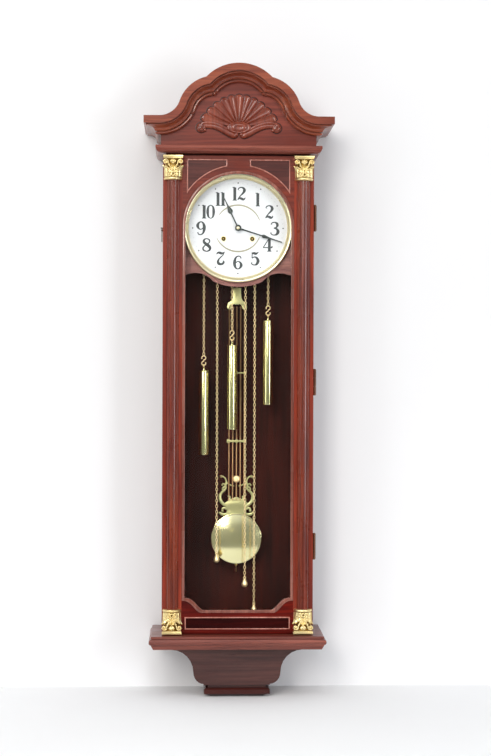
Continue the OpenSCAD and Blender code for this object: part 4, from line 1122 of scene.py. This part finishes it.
DIGITS = {
    "0": [[(0, 0.985, 0.015), (-0.17, 0.86, 0.05), (-0.225, 0.5, 0.09), (-0.17, 0.14, 0.05),
           (0, 0.015, 0.015), (0.17, 0.14, 0.05), (0.225, 0.5, 0.09), (0.17, 0.86, 0.05),
           (0, 0.985, 0.015)]],
    "1": [[(0, 0.97, 0.095), (0, 0.04, 0.095)], [(-0.17, 0.965, 0.018), (0, 0.975, 0.022)],
          [(-0.17, 0.02, 0.02), (0.17, 0.02, 0.02)]],
    "2": [[(-0.20, 0.75, 0.075), (-0.19, 0.77, 0.065)],
          [(-0.26, 0.78, 0.02), (-0.18, 0.92, 0.03), (0, 0.972, 0.032), (0.16, 0.90, 0.07),
           (0.215, 0.75, 0.095), (0.13, 0.57, 0.065), (-0.05, 0.38, 0.034), (-0.20, 0.20, 0.026),
           (-0.27, 0.07, 0.022)],
          [(-0.28, 0.05, 0.022), (-0.18, 0.15, 0.05), (-0.05, 0.155, 0.078), (0.10, 0.09, 0.082),
           (0.20, 0.10, 0.05), (0.28, 0.23, 0.015)]],
    "3": [[(-0.21, 0.79, 0.07), (-0.20, 0.81, 0.06)],
          [(-0.27, 0.80, 0.02), (-0.18, 0.93, 0.03), (0, 0.972, 0.032), (0.17, 0.90, 0.07),
           (0.215, 0.77, 0.085), (0.14, 0.61, 0.045), (-0.06, 0.54, 0.02)],
          [(-0.06, 0.54, 0.02), (0.17, 0.47, 0.06), (0.26, 0.28, 0.105), (0.16, 0.09, 0.07),
           (-0.02, 0.028, 0.03), (-0.20, 0.07, 0.03), (-0.30, 0.20, 0.025)],
          [(-0.23, 0.21, 0.08), (-0.22, 0.23, 0.065)]],
    "4": [[(0.12, 0.97, 0.09), (0.12, 0.04, 0.09)], [(0.09, 0.97, 0.022), (-0.32, 0.31, 0.022)],
          [(-0.35, 0.285, 0.024), (0.32, 0.285, 0.024)], [(-0.04, 0.02, 0.02), (0.28, 0.02, 0.02)],
          [(0.27, 0.29, 0.03), (0.31, 0.33, 0.045), (0.33, 0.41, 0.015)]],
    "5": [[(-0.24, 0.96, 0.012), (-0.17, 0.90, 0.05), (-0.06, 0.90, 0.078), (0.07, 0.87, 0.078),
           (0.17, 0.91, 0.045), (0.27, 1.0, 0.012)], [(-0.20, 0.94, 0.024), (-0.21, 0.52, 0.022)],
          [(-0.21, 0.52, 0.02), (-0.05, 0.62, 0.03), (0.13, 0.56, 0.065), (0.24, 0.33, 0.10),
           (0.14, 0.10, 0.075), (-0.02, 0.028, 0.03), (-0.19, 0.07, 0.03), (-0.28, 0.20, 0.025)],
          [(-0.21, 0.21, 0.08), (-0.20, 0.23, 0.065)]],
    "6": [[(0.25, 0.80, 0.02), (0.17, 0.94, 0.03), (0.01, 0.972, 0.03), (-0.16, 0.85, 0.055),
           (-0.24, 0.58, 0.095), (-0.24, 0.33, 0.095), (-0.15, 0.10, 0.055), (0, 0.026, 0.03),
           (0.15, 0.10, 0.055), (0.245, 0.30, 0.095), (0.17, 0.50, 0.055), (0.02, 0.58, 0.026),
           (-0.13, 0.50, 0.022), (-0.19, 0.38, 0.02)],
          [(0.20, 0.80, 0.078), (0.19, 0.82, 0.065)]],
    "7": [[(-0.31, 0.79, 0.012), (-0.25, 0.90, 0.045), (-0.12, 0.93, 0.075), (0.04, 0.88, 0.08),
           (0.16, 0.90, 0.045), (0.28, 1.0, 0.012)],
          [(0.27, 0.99, 0.015), (0.17, 0.77, 0.024), (-0.02, 0.58, 0.03), (-0.15, 0.43, 0.045),
           (-0.21, 0.25, 0.08), (-0.14, 0.11, 0.09), (0.03, 0.075, 0.07), (0.17, 0.14, 0.07),
           (0.22, 0.26, 0.05), (0.14, 0.33, 0.02)]],
    "8": [[(0, 0.972, 0.03), (-0.17, 0.90, 0.05), (-0.21, 0.75, 0.078), (-0.11, 0.61, 0.09),
           (0.10, 0.47, 0.105), (0.25, 0.28, 0.09), (0.20, 0.11, 0.055), (0, 0.026, 0.03),
           (-0.21, 0.10, 0.045), (-0.27, 0.26, 0.045), (-0.14, 0.44, 0.032), (0.06, 0.57, 0.03),
           (0.21, 0.71, 0.034), (0.19, 0.88, 0.04), (0, 0.972, 0.03)]],
}
DIGITS["9"] = [[(-x, 1.0 - z, w) for x, z, w in line] for line in DIGITS["6"]]
# Middle of each hour's numeral from the dial's centre, and its digits' places about that middle
HOURS = {
    "1": (41.0, 60.0, (0.0,)), "2": (65.0, 34.0, (0.0,)), "3": (76.0, -0.5, (0.0,)),
    "4": (62.0, -34.0, (0.0,)), "5": (35.3, -63.0, (0.0,)), "6": (0.0, -71.3, (0.0,)),
    "7": (-35.5, -63.0, (0.0,)), "8": (-65.0, -35.0, (0.0,)), "9": (-77.0, -0.5, (0.0,)),
    "10": (-61.0, 34.0, (-9.4, 4.1)), "11": (-36.5, 60.5, (-5.2, 5.2)),
    "12": (2.0, 71.7, (-8.9, 5.1)),
}


def digit_lines(digit, x, z, height):
    """Stroke lines of one digit in the frame, the middle of its foot at x and z in millimetres."""
    ink_spread = 0.014
    lines = []
    for stroke in DIGITS[digit]:
        soft = smooth_line(stroke, 7) if len(stroke) > 2 else [
            tuple(a + (b - a) * k / 6 for a, b in zip(stroke[0], stroke[1])) for k in range(7)]
        lines.append([(mm(x + u * height), 0.0, mm(z + v * height - HANGER_UP), w + ink_spread)
                      for u, v, w in soft])
    return lines


class CLOCK_OT_dial_marks(bpy.types.Operator):
    """Paints the numerals, the minute and hour dots and the gilt lines"""

    bl_idname = "clock.dial_marks"
    bl_label = "Dial marks"

    def execute(self, context):
        tall = context.scene.clock_sizes.numeral_height * 1000
        lines = []
        for word, (x, z, places) in HOURS.items():
            for digit, along in zip(word, places):
                lines += digit_lines(digit, x + along, DIAL_UP + z - tall / 2, tall)
        numerals = wire("numerals", lines, mm(tall), gap=0.0000004)
        numerals.scale = (1, 0.06, 1)
        numerals.location = (0, mm(DIAL_FACE), 0)
        finish(numerals, "case", "hand_black", kit["ink"], angle=50)
        put_down()
        bpy.ops.mesh.primitive_cylinder_add(vertices=12, radius=mm(1.5), depth=mm(0.3),
                                            rotation=(math.radians(90), 0, 0))
        dot = settle(bpy.context.object)
        work_on(dot)
        pick_faces(dot, lambda middle, normal: normal.y < -0.9)
        bpy.ops.mesh.inset(thickness=mm(0.3))
        bpy.ops.transform.translate(value=(0, -mm(0.08), 0))
        bpy.ops.object.mode_set(mode="OBJECT")
        hours = []
        minutes = []
        for i in range(60):
            row, size = (hours, 1.0) if i % 5 == 0 else (minutes, 0.45)
            a = math.radians(i * 6)
            place = at(DOTS_R * math.sin(a), DIAL_FACE - 0.1, DIAL_UP + DOTS_R * math.cos(a))
            move = Matrix.Translation(place) @ Matrix.Diagonal((size, 1, size, 1))
            row.append(shifted(dot, "dial_dot", move))
        take(dot)
        bpy.ops.object.delete()
        finish(join("hour_dots", hours), "case", "hand_black", kit["ink"])
        finish(join("minute_dots", minutes), "case", "hand_black", kit["minute_ink"])
        arcs = []
        for start, end, reach in ((-56, 70, 48.0), (112, 246, 48.5)):
            line = ring_line(0, DIAL_UP, reach, start, end, 48)
            count = len(line) - 1
            arcs.append([(mm(x), mm(DIAL_FACE), mm(z - HANGER_UP),
                          0.35 + 0.65 * math.sin(math.pi * i / count) ** 0.6)
                         for i, (x, z) in enumerate(line)])
        arc = wire("dial_lines", arcs, mm(1.7))
        middle = at(0, DIAL_FACE, 0).y
        shape(arc, lambda co: Vector((co.x, middle + (co.y - middle) * 0.3, co.z)))
        finish(arc, "case", "gilt", kit["line_gilt"], angle=50)
        return {"FINISHED"}


class CLOCK_OT_bezel(bpy.types.Operator):
    """Turns the stepped bezel"""

    bl_idname = "clock.bezel"
    bl_label = "Bezel"

    def execute(self, context):
        ring = turned("bezel_ring", [
            (102.5, 0.0), (102.5, 2.0), (102.8, 3.0), (103.4, 3.5), (104.1, 3.3), (104.6, 3.9),
            (105.8, 5.6), (107.4, 7.4), (109.2, 8.6), (110.8, 9.0), (112.0, 8.3), (112.7, 6.8),
            (113.0, 4.6), (113.0, 1.0), (113.0, -1.2), (108.7, -1.2), (108.7, 0.0), (102.5, 0.0)],
            at(0, DIAL_FACE, DIAL_UP), "Y", 144)
        finish(ring, "case", "gilt", kit["bezel"], ["bezel"], 30)
        return {"FINISHED"}


class CLOCK_OT_hands(bpy.types.Operator):
    """Files the hands' edges and sets the nut on their arbor"""

    bl_idname = "clock.hands"
    bl_label = "Hands"

    def execute(self, context):
        for name in ("hour_hand", "minute_hand"):
            hand = softened(name, name + "_filed", 0.22, 2, 40)
            finish(hand, name, "hand_black", kit["hand"], [name], 35)
        collar_back = -109.4
        nut_back = -111.0
        ring = turned("hand_collar", [
            (2.4, 0), (6.2, 0), (6.8, 0.5), (6.8, 1.1), (6.2, 1.6), (4.8, 1.8), (2.4, 1.8), (2.4, 0)],
            at(0, collar_back, DIAL_UP), "Y", 32)
        finish(ring, "minute_hand", "hand_black", kit["hand"], angle=30)
        nut = turned("hand_nut", [
            (0, -1.0), (3.2, -1.0), (3.4, -0.6), (3.4, 0.2), (3.0, 0.8), (2.0, 1.3), (1.0, 1.5),
            (0, 1.6)], at(0, nut_back, DIAL_UP), "Y", 32)
        finish(nut, "minute_hand", "brass", kit["bezel"], angle=30)
        for x, name in ((30, "time_winder"), (-30, "strike_winder")):
            arbor = frame["nodes"][name]
            tip = min((arbor.matrix_world @ Vector(corner)).y for corner in arbor.bound_box)
            point = turned(name + "_tip", [(0, -0.4), (1.7, -0.4), (1.7, 0.2), (1.2, 0.5), (0, 0.6)],
                           Vector((mm(x), tip, at(0, 0, DIAL_UP - 22).z)), "Y", 24)
            finish(point, name, "steel", kit["works"], angle=30)
        return {"FINISHED"}


# Chains, weights and pulls


def link_piece(width, step):
    """One chain link in X and Z about the origin, with a few dozen faces, in metres."""
    wire_r = 0.00058
    half = width / 2 - wire_r
    long = step / 2 + wire_r * 0.6
    # How far up or down the twelve points of a round ring move to make a long link
    ends = (1, 1, 1, 0, -1, -1, -1, -1, -1, 0, 1, 1)
    line = []
    for i, end in enumerate(ends):
        a = math.tau * i / len(ends)
        line.append((half * math.sin(a), 0.0, (long - half) * end + half * math.cos(a)))
    curve = thread("chain_link", [line], True)
    curve.data.bevel_depth = wire_r
    curve.data.bevel_resolution = 1
    return to_mesh(curve)


def hang_chain(link, step, body, x, drop, node):
    """Chain hanging from a wheel's side, each link a quarter turn from the last."""
    count = round(mm(drop) / step)
    pace = mm(drop) / count
    hang = at(x, CHAIN_Y, WHEEL_UP)
    links = []
    for i in range(count):
        turn = Matrix.Rotation(math.radians(12 + 90 * (i % 2)), 4, "Z")
        spot = Vector((hang.x, hang.y, hang.z - pace * (i + 0.5)))
        links.append(shifted(link, "chain_part", Matrix.Translation(spot) @ turn))
    finish(join(body + "_chain", links), body, "brass", kit["chain"], [node], 50)


def eye_ring(body, x, up, radius, thick, across, deep):
    """Wire eye in the chains' plane, with how far across and how deep its turn leaves it."""
    line = [(mm(x + (px - x) * across), mm(CHAIN_Y) + mm((px - x) * deep), mm(pz - HANGER_UP), 1.0)
            for px, pz in ring_line(x, up, radius, 0, 345, 20)]
    return wire(body + "_eye", [line], mm(thick), True)


class CLOCK_OT_weights(bpy.types.Operator):
    """Makes the three weights and the three pulls with their hooks and chains"""

    bl_idname = "clock.weights"
    bl_label = "Weights and pulls"

    def execute(self, context):
        sizes = context.scene.clock_sizes
        step = sizes.link_step
        link = link_piece(sizes.link_width, step)
        for side, wheel in WHEELS.items():
            self.weight(link, step, side, wheel + WEIGHT_SIDE[side] * WHEEL_R)
        for side, wheel in WHEELS.items():
            self.pull(link, step, side, wheel - WEIGHT_SIDE[side] * WHEEL_R)
        take(link)
        bpy.ops.object.delete()
        return {"FINISHED"}

    def weight(self, link, step, side, x):
        """One brass tube with its caps, under its hook and chain."""
        body = side + "_weight"
        top = WHEEL_UP - WEIGHT_DROP[side]
        hang_chain(link, step, body, x, WEIGHT_DROP[side] - HOOK_LONG, body)
        tube = turned(body + "_tube", [
            (0, 0), (8.6, 0), (9.4, 0), (10.6, 0.5), (11.2, 1.4), (11.2, 2.4), (10.9, 2.8),
            (11.0, 3.4), (11.0, 173.4), (10.9, 174.0), (11.2, 174.4), (11.2, 176.0),
            (10.6, 176.8), (9.4, TUBE_LONG), (3.6, TUBE_LONG), (3.4, 178.6), (2.4, 179.4),
            (1.5, 179.8), (1.4, 184.6), (0, 184.8)], at(x, CHAIN_Y, top - TUBE_LONG), "Z", 56)
        finish(tube, body, "brass", kit["tube"], angle=30)
        upper = ring_line(0, 16.6, 4.2, -120, 180, 24)
        lower = [(-px, 22.0 - pz) for px, pz in upper]
        line = [(mm(x + px), mm(CHAIN_Y), mm(top + 9.2 + pz - HANGER_UP), 1.0)
                for px, pz in upper + lower[::-1]]
        hook = wire(body + "_hook", [line], mm(1.05), sides=3)
        ring = eye_ring(body, x, top + 9.6, 2.6, 0.9, 0.3, 0.95)
        finish(join(body + "_hook", [hook, ring]), body, "brass", kit["chain"], angle=50)

    def pull(self, link, step, side, x):
        """One drop-shaped pull at the end of its chain."""
        body = side + "_tail"
        foot = WHEEL_UP - PULL_DROP[side] - 21.0
        hang_chain(link, step, body, x, PULL_DROP[side], side + "_chain_tail")
        drop = turned(body + "_pull", [
            (0, 0), (2.8, 0.5), (4.8, 2.0), (5.9, 4.4), (6.1, 6.6), (5.6, 9.4), (4.4, 12.6),
            (3.1, 15.2), (2.2, 17.0), (1.9, 17.6), (2.2, 18.0), (1.5, 18.5), (0, 18.7)],
            at(x, CHAIN_Y, foot), "Z", 32)
        ring = eye_ring(body, x, foot + 19.6, 2.3, 0.75, 1, 0)
        finish(join(body + "_pull", [drop, ring]), body, "brass", kit["chain"], angle=40)


# Pendulum


def mirrored(outline):
    """Closed outline from its right half, listed from bottom to top."""
    return outline + [(-x, z) for x, z in outline[::-1] if abs(x) > 0.001]


class CLOCK_OT_pendulum(bpy.types.Operator):
    """Builds the pendulum's rods, ties, plates, lyre and bob"""

    bl_idname = "clock.pendulum"
    bl_label = "Pendulum"

    def execute(self, context):
        flat = SWING_Y - 1.8
        head = 812.0
        right = [(0, head + 2), (2.6, head + 0.6), (4.6, head + 2.4), (7.6, head + 1.6),
                 (10.2, head - 1.4), (11.6, head - 5.4)]
        right += ring_line(15.5, head - 3.5, 5.6, 225, 60, 10)
        right += smooth_line([(19.0, head + 4.6), (16.2, head + 6.6), (12.6, head + 9.6),
                              (10.0, head + 14.0), (8.9, head + 20.0), (8.6, head + 28.0),
                              (8.6, head + 36.5)], 4)
        right.append((0, head + 37))
        top = plate("pendulum_top_plate", mirrored(right), flat, 3.6, 0.5)
        stud = [(0, -0.4), (2.2, -0.4), (2.1, 0.6), (1.2, 1.2), (0, 1.4)]
        studs = [turned("pendulum_stud", stud, at(x, flat, head - 1.5), "Y", 20)
                 for x in (-14.5, 14.5)]
        finish(join("pendulum_top_plate", [top, *studs]), "pendulum", "brass", kit["lyre"],
               ["pendulum_frame"], 35)
        rods = []
        for i in range(-2, 3):
            rods.append(turned("pendulum_rod", [
                (0, 0), (2.1, 0), (2.1, 2.6), (1.5, 3.4), (1.5, 405), (2.1, 405.8), (2.1, 409),
                (0, 409)], at(i * 8.0, SWING_Y, 400), "Z", 16))
        rods.append(turned("pendulum_leader", [
            (0, 0), (1.2, 0), (1.2, 152), (0, 152)], at(0, SWING_Y, 843), "Z", 16))
        rods.append(turned("rating_rod", [
            (0, 0), (0.7, 0), (1.2, 0.8), (1.2, 124), (0, 124)], at(0, SWING_Y, 249), "Z", 16))
        finish(join("pendulum_rods", rods), "pendulum", "brass", kit["rod"], angle=40)
        block = plate("suspension_block", [(-4, 994), (4, 994), (4, 1000), (-4, 1000)],
                      SWING_Y - 2, 4, 0.4)
        spring = plate("suspension_spring", [(-3, 999.5), (3, 999.5), (3, 1016.7), (-3, 1016.7)],
                       SWING_Y - 0.3, 0.6)
        finish(join("suspension_spring", [block, spring]), "pendulum", "steel", kit["steel"])
        ties = []
        for high, tall in ((525.0, 9.0), (669.0, 7.0)):
            h = tall / 2
            line = [(0, high - h * 1.15), (1.6, high - h * 0.8), (3.6, high - h * 0.34),
                    (5.6, high - h * 0.5), (8.0, high - h * 0.66), (10.4, high - h * 0.5),
                    (12.0, high - h * 0.3), (14.0, high - h * 0.75), (17.0, high - h),
                    (19.6, high - h * 0.86), (21.0, high - h * 0.4), (20.2, high)]
            upper = [(x, 2 * high - z) for x, z in line[::-1][1:]]
            ties.append(plate("pendulum_tie", mirrored(line + upper), SWING_Y - 2.8, 5.6, 0.7))
            for x, r in ((0, 2.4), (-17, 1.7), (17, 1.7)):
                ties.append(turned("tie_stud", [(0, -0.3), (r, -0.3), (r * 0.8, 0.7), (0, 1.1)],
                                   at(x, SWING_Y - 2.8, high), "Y", 18))
        finish(join("pendulum_ties", ties), "pendulum", "brass", kit["lyre"], angle=35)
        self.lyre()
        self.bob()
        return {"FINISHED"}

    def lyre(self):
        """Pierced lyre with horns, hips and the plate that meets the bob."""
        z = LYRE_UP
        plate_half = [(0, z - 14), (21, z - 14), (22.5, z - 5), (20.5, z + 3), (19.4, z + 9),
                      (23.0, z + 15), (25.5, z + 20), (20.5, z + 24.5), (16.0, z + 27.0),
                      (15.6, z + 30.0), (13.2, z + 31.6), (11.0, z + 29.6), (8.6, z + 31.6),
                      (6.8, z + 30.2), (4.8, z + 32.6), (2.4, z + 33.8), (0, z + 33.2)]
        parts = [plate("lyre_plate", mirrored(plate_half), SWING_Y - 1.6, 3.2, 0.4)]
        strokes = [
            [(19.0, 15.0, 3.2), (27.5, 19.5, 3.4), (33.4, 27.0, 3.5), (34.6, 36.0, 3.2),
             (31.0, 43.6, 2.7), (25.4, 48.4, 2.2), (22.4, 53.0, 2.0), (23.2, 58.0, 2.3),
             (21.8, 63.0, 2.1), (21.6, 68.0, 1.6), (24.0, 73.6, 1.5), (28.0, 77.0, 1.6),
             (31.6, 77.6, 2.0)],
            [(21.8, 65.0, 1.2), (16.0, 61.6, 1.3), (10.0, 58.4, 1.2), (5.0, 57.4, 1.2)],
            [(23.0, 56.0, 1.6), (27.6, 54.0, 1.9), (29.6, 50.0, 1.5), (27.2, 47.6, 1.2)],
            [(24.0, 60.4, 1.4), (28.0, 62.0, 1.7), (30.2, 59.6, 1.3)],
            [(20.0, 8.0, 1.8), (25.0, 11.0, 2.4), (29.0, 9.0, 2.4), (29.6, 4.6, 2.0)],
            [(19.0, -1.0, 2.4), (25.0, -3.0, 3.0), (31.0, -2.0, 3.2), (34.4, 0.6, 2.4)],
            [(14.6, 30.4, 1.7), (13.6, 34.4, 2.0), (17.0, 36.0, 1.6)],
        ]
        lines = [[(mm(s * x), 0.0, mm(z + up - HANGER_UP), w) for x, up, w in smooth_line(stroke, 7)]
                 for stroke in strokes for s in (-1, 1)]
        arms = wire("lyre_arms", lines, mm(1), sides=3)
        arms.scale = (1, 0.5, 1)
        arms.location = (0, mm(SWING_Y - 0.2), 0)
        parts.append(settle(arms))
        for s in (-1, 1):
            for x, up, r in ((32.0, 77.4, 3.0), (27.4, 48.0, 2.2), (30.0, 59.4, 2.0),
                             (29.4, 4.8, 2.8), (34.6, 0.6, 2.8), (16.8, 35.8, 1.9)):
                parts.append(ball(r, at(s * x, SWING_Y - 0.4, z + up), 16, 10, 0.75))
        finish(join("pendulum_lyre", parts), "pendulum", "brass", kit["lyre"], angle=40)
        boss = turned("lyre_ball", [
            (0, -1.6), (6.2, -1.6), (7.2, -0.8), (7.4, 0.6), (6.8, 1.8), (5.2, 2.7), (3.4, 3.1),
            (2.4, 3.1), (2.0, 2.4), (0, 2.2)], at(0, SWING_Y, z + 72), "Y", 40)
        finish(boss, "pendulum", "brass", kit["chain"], angle=40)

    def bob(self):
        """Domed bob with a rolled rim, its slide behind and its rating nut."""
        rim, dome = 1.4, 6.3
        profile = [(0, rim + dome)]
        for i in range(1, 19):
            u = i / 18 * 0.955
            profile.append((BOB_R * u, rim + dome * (1 - u * u)))
        profile += [(51.2, 1.9), (51.8, 2.4), (52.6, 2.2), (53.0, 1.4), (52.8, 0.6), (52.0, 0.0),
                    (0, 0)]
        face = turned("bob_face", profile, at(0, SWING_Y - 2, BOB_UP), "Y", 96)
        slide = plate("bob_slide", [(-5, BOB_UP - 8), (5, BOB_UP - 8), (5, BOB_UP + 8),
                                    (-5, BOB_UP + 8)], SWING_Y - 2.2, 6.2, 0.4)
        finish(join("polished_bob", [face, slide]), "pendulum", "brass", kit["bob"], ["bob"], 24)
        nut = turned("knurled_nut", [
            (1.25, 0), (3.6, 0), (4.4, 0.6), (4.4, 3.4), (3.6, 4.0), (1.25, 4.0), (1.25, 0)],
            at(0, SWING_Y, BOB_UP - BOB_R - 4.3), "Z", 40)
        axis = at(0, SWING_Y, 0)

        def knurl(co):
            # The outer points move in and out twenty times round the nut
            x, y = co.x - axis.x, co.y - axis.y
            if math.hypot(x, y) < mm(4.0):
                return co
            k = 1 - 0.05 * (1 + math.cos(math.atan2(y, x) * 20)) / 2
            return Vector((axis.x + x * k, axis.y + y * k, co.z))

        shape(nut, knurl)
        finish(nut, "rating_nut", "brass", kit["brass"], ["rating_nut"], 40)


# Stage


class CLOCK_OT_stage(bpy.types.Operator):
    """Sets the pale wall and floor, the lamps and the camera"""

    bl_idname = "clock.stage"
    bl_label = "Stage"

    def execute(self, context):
        put_down()
        bpy.ops.mesh.primitive_plane_add(size=9, location=WALL_PLACE,
                                         rotation=(math.radians(90), 0, 0))
        wall = settle(bpy.context.object)
        wall.name = "room_wall"
        bpy.ops.mesh.primitive_plane_add(size=1, location=FLOOR_PLACE)
        bpy.context.object.scale = (9, 1.1, 1)
        floor = settle(bpy.context.object)
        floor.name = "room_floor"
        for piece, colour in ((wall, "#e8e8e9"), (floor, "#e9eaea")):
            piece.data.materials.append(self.backdrop(piece.name + "_paint", colour))
            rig.stage(piece)
        self.lamps(context)
        self.camera(context)
        return {"FINISHED"}

    def backdrop(self, name, colour):
        """Matt paint that is clear from behind, so that the back can be seen."""
        material, tree, shader, place = blank(name)
        rub = use_effect(tree, kit["rubbing"], place, 0.15)
        base = blend_colour(tree, share(tree, rub["Cloud"], 0.25), rgb(colour),
                            rgb("#e2e2e3"))
        tree.links.new(base, shader.inputs["Base Color"])
        shader.inputs["Roughness"].default_value = 0.9
        shader.inputs["Specular IOR Level"].default_value = 0.1
        side = tree.nodes.new("ShaderNodeNewGeometry")
        see_through(tree, shader, side.outputs["Backfacing"])
        return material

    def lamps(self, context):
        """Soft room light that is paler above and in front, and four lamps aimed at the clock."""
        world = bpy.data.worlds.new("Room light")
        context.scene.world = world
        world.use_nodes = True
        tree = world.node_tree
        back = tree.nodes["Background"]
        place = tree.nodes.new("ShaderNodeTexCoord").outputs["Generated"]
        apart = tree.nodes.new("ShaderNodeSeparateXYZ")
        tree.links.new(place, apart.inputs[0])
        side = spread(tree, apart.outputs["Y"], -0.75, 0.1)
        up = spread(tree, apart.outputs["Z"], 0.14, 0.36)
        pale = sums(tree, "MAXIMUM", side, up)
        room = blend_colour(tree, pale, rgb("#8c8e8a"), rgb("#e2e4e8"))
        tree.links.new(room, back.inputs["Color"])
        back.inputs["Strength"].default_value = 1.0
        power = context.scene.clock_sizes.lamp_power
        lamps = (
            ("Left front lamp", (-1.3, -4.2, 1.0), (1.2, 1.9), power, "#fffaf4"),
            ("Right front lamp", (2.5, -3.4, -0.2), (0.8, 1.6), power * 0.55, "#f6f9ff"),
            ("Ceiling lamp", (-0.4, -2.6, 2.7), (2.4, 1.4), power * 0.4, "#ffffff"),
            ("Left side lamp", (-2.6, -2.3, 0.1), (0.6, 2.6), power * 0.22, "#ffffff"),
        )
        for name, place, size, watts, colour in lamps:
            put_down()
            bpy.ops.object.light_add(type="AREA", radius=1, location=place)
            lamp = bpy.context.object
            lamp.name = name
            lamp.data.shape = "RECTANGLE"
            lamp.data.size = size[0]
            lamp.data.size_y = size[1]
            lamp.data.energy = watts
            lamp.data.color = rgb(colour)[:3]
            aim = Vector((0, 0, -0.35)) - Vector(place)
            lamp.rotation_euler = aim.to_track_quat("-Z", "Y").to_euler()

    def camera(self, context):
        """The camera at the photograph's viewing angle."""
        put_down()
        bpy.ops.object.camera_add(location=CAMERA_PLACE,
                                  rotation=[math.radians(a) for a in CAMERA_TURN])
        camera = bpy.context.object
        camera.name = "Photo camera"
        camera.data.sensor_fit = "VERTICAL"
        camera.data.sensor_height = 36
        camera.data.sensor_width = 36
        camera.data.lens = 83.33
        camera.data.shift_x = -0.0153
        camera.data.shift_y = -0.0110
        context.scene.camera = camera
        context.scene.view_settings.view_transform = "Standard"


STEPS = (
    CLOCK_OT_finishes, CLOCK_OT_shell, CLOCK_OT_door_trim, CLOCK_OT_capitals, CLOCK_OT_bezel,
    CLOCK_OT_dial_marks, CLOCK_OT_hands, CLOCK_OT_weights, CLOCK_OT_pendulum, CLOCK_OT_stage,
)


class CLOCK_PT_sidebar(bpy.types.Panel):
    """Lists the clock's pieces in the order they are made"""

    bl_idname = "CLOCK_PT_sidebar"
    bl_label = "Wall clock"
    bl_space_type = "VIEW_3D"
    bl_region_type = "UI"
    bl_category = "Wall clock"

    def draw(self, context):
        """Lists the settings, and then a button for each step."""
        layout = self.layout
        for group in (context.scene.clock_sizes, context.scene.clock_colours):
            for key in group.bl_rna.properties.keys():
                if key not in ("rna_type", "name"):
                    layout.prop(group, key)
        for step in STEPS:
            layout.operator(step.bl_idname)


CLASSES = (ClockColours, ClockSizes, *STEPS, CLOCK_PT_sidebar)


def register():
    """Adds the classes and the clock's settings."""
    for kind in CLASSES:
        bpy.utils.register_class(kind)
    bpy.types.Scene.clock_sizes = bpy.props.PointerProperty(type=ClockSizes)
    bpy.types.Scene.clock_colours = bpy.props.PointerProperty(type=ClockColours)


def unregister():
    """Takes the settings and the classes away again."""
    del bpy.types.Scene.clock_sizes
    del bpy.types.Scene.clock_colours
    for kind in reversed(CLASSES):
        bpy.utils.unregister_class(kind)


def main():
    """Makes the clock and the stage, and writes both boxes."""
    register()
    bpy.ops.clock.finishes()
    bpy.ops.clock.shell()
    bpy.ops.clock.door_trim()
    bpy.ops.clock.capitals()
    bpy.ops.clock.bezel()
    bpy.ops.clock.dial_marks()
    bpy.ops.clock.hands()
    bpy.ops.clock.weights()
    bpy.ops.clock.pendulum()
    bpy.ops.clock.stage()
    low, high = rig.bounds()
    with open("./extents.json", "w") as out:
        json.dump({"cad": [list(cad_low), list(cad_high)], "visual": [list(low), list(high)]}, out)


if __name__ == "__main__":
    main()
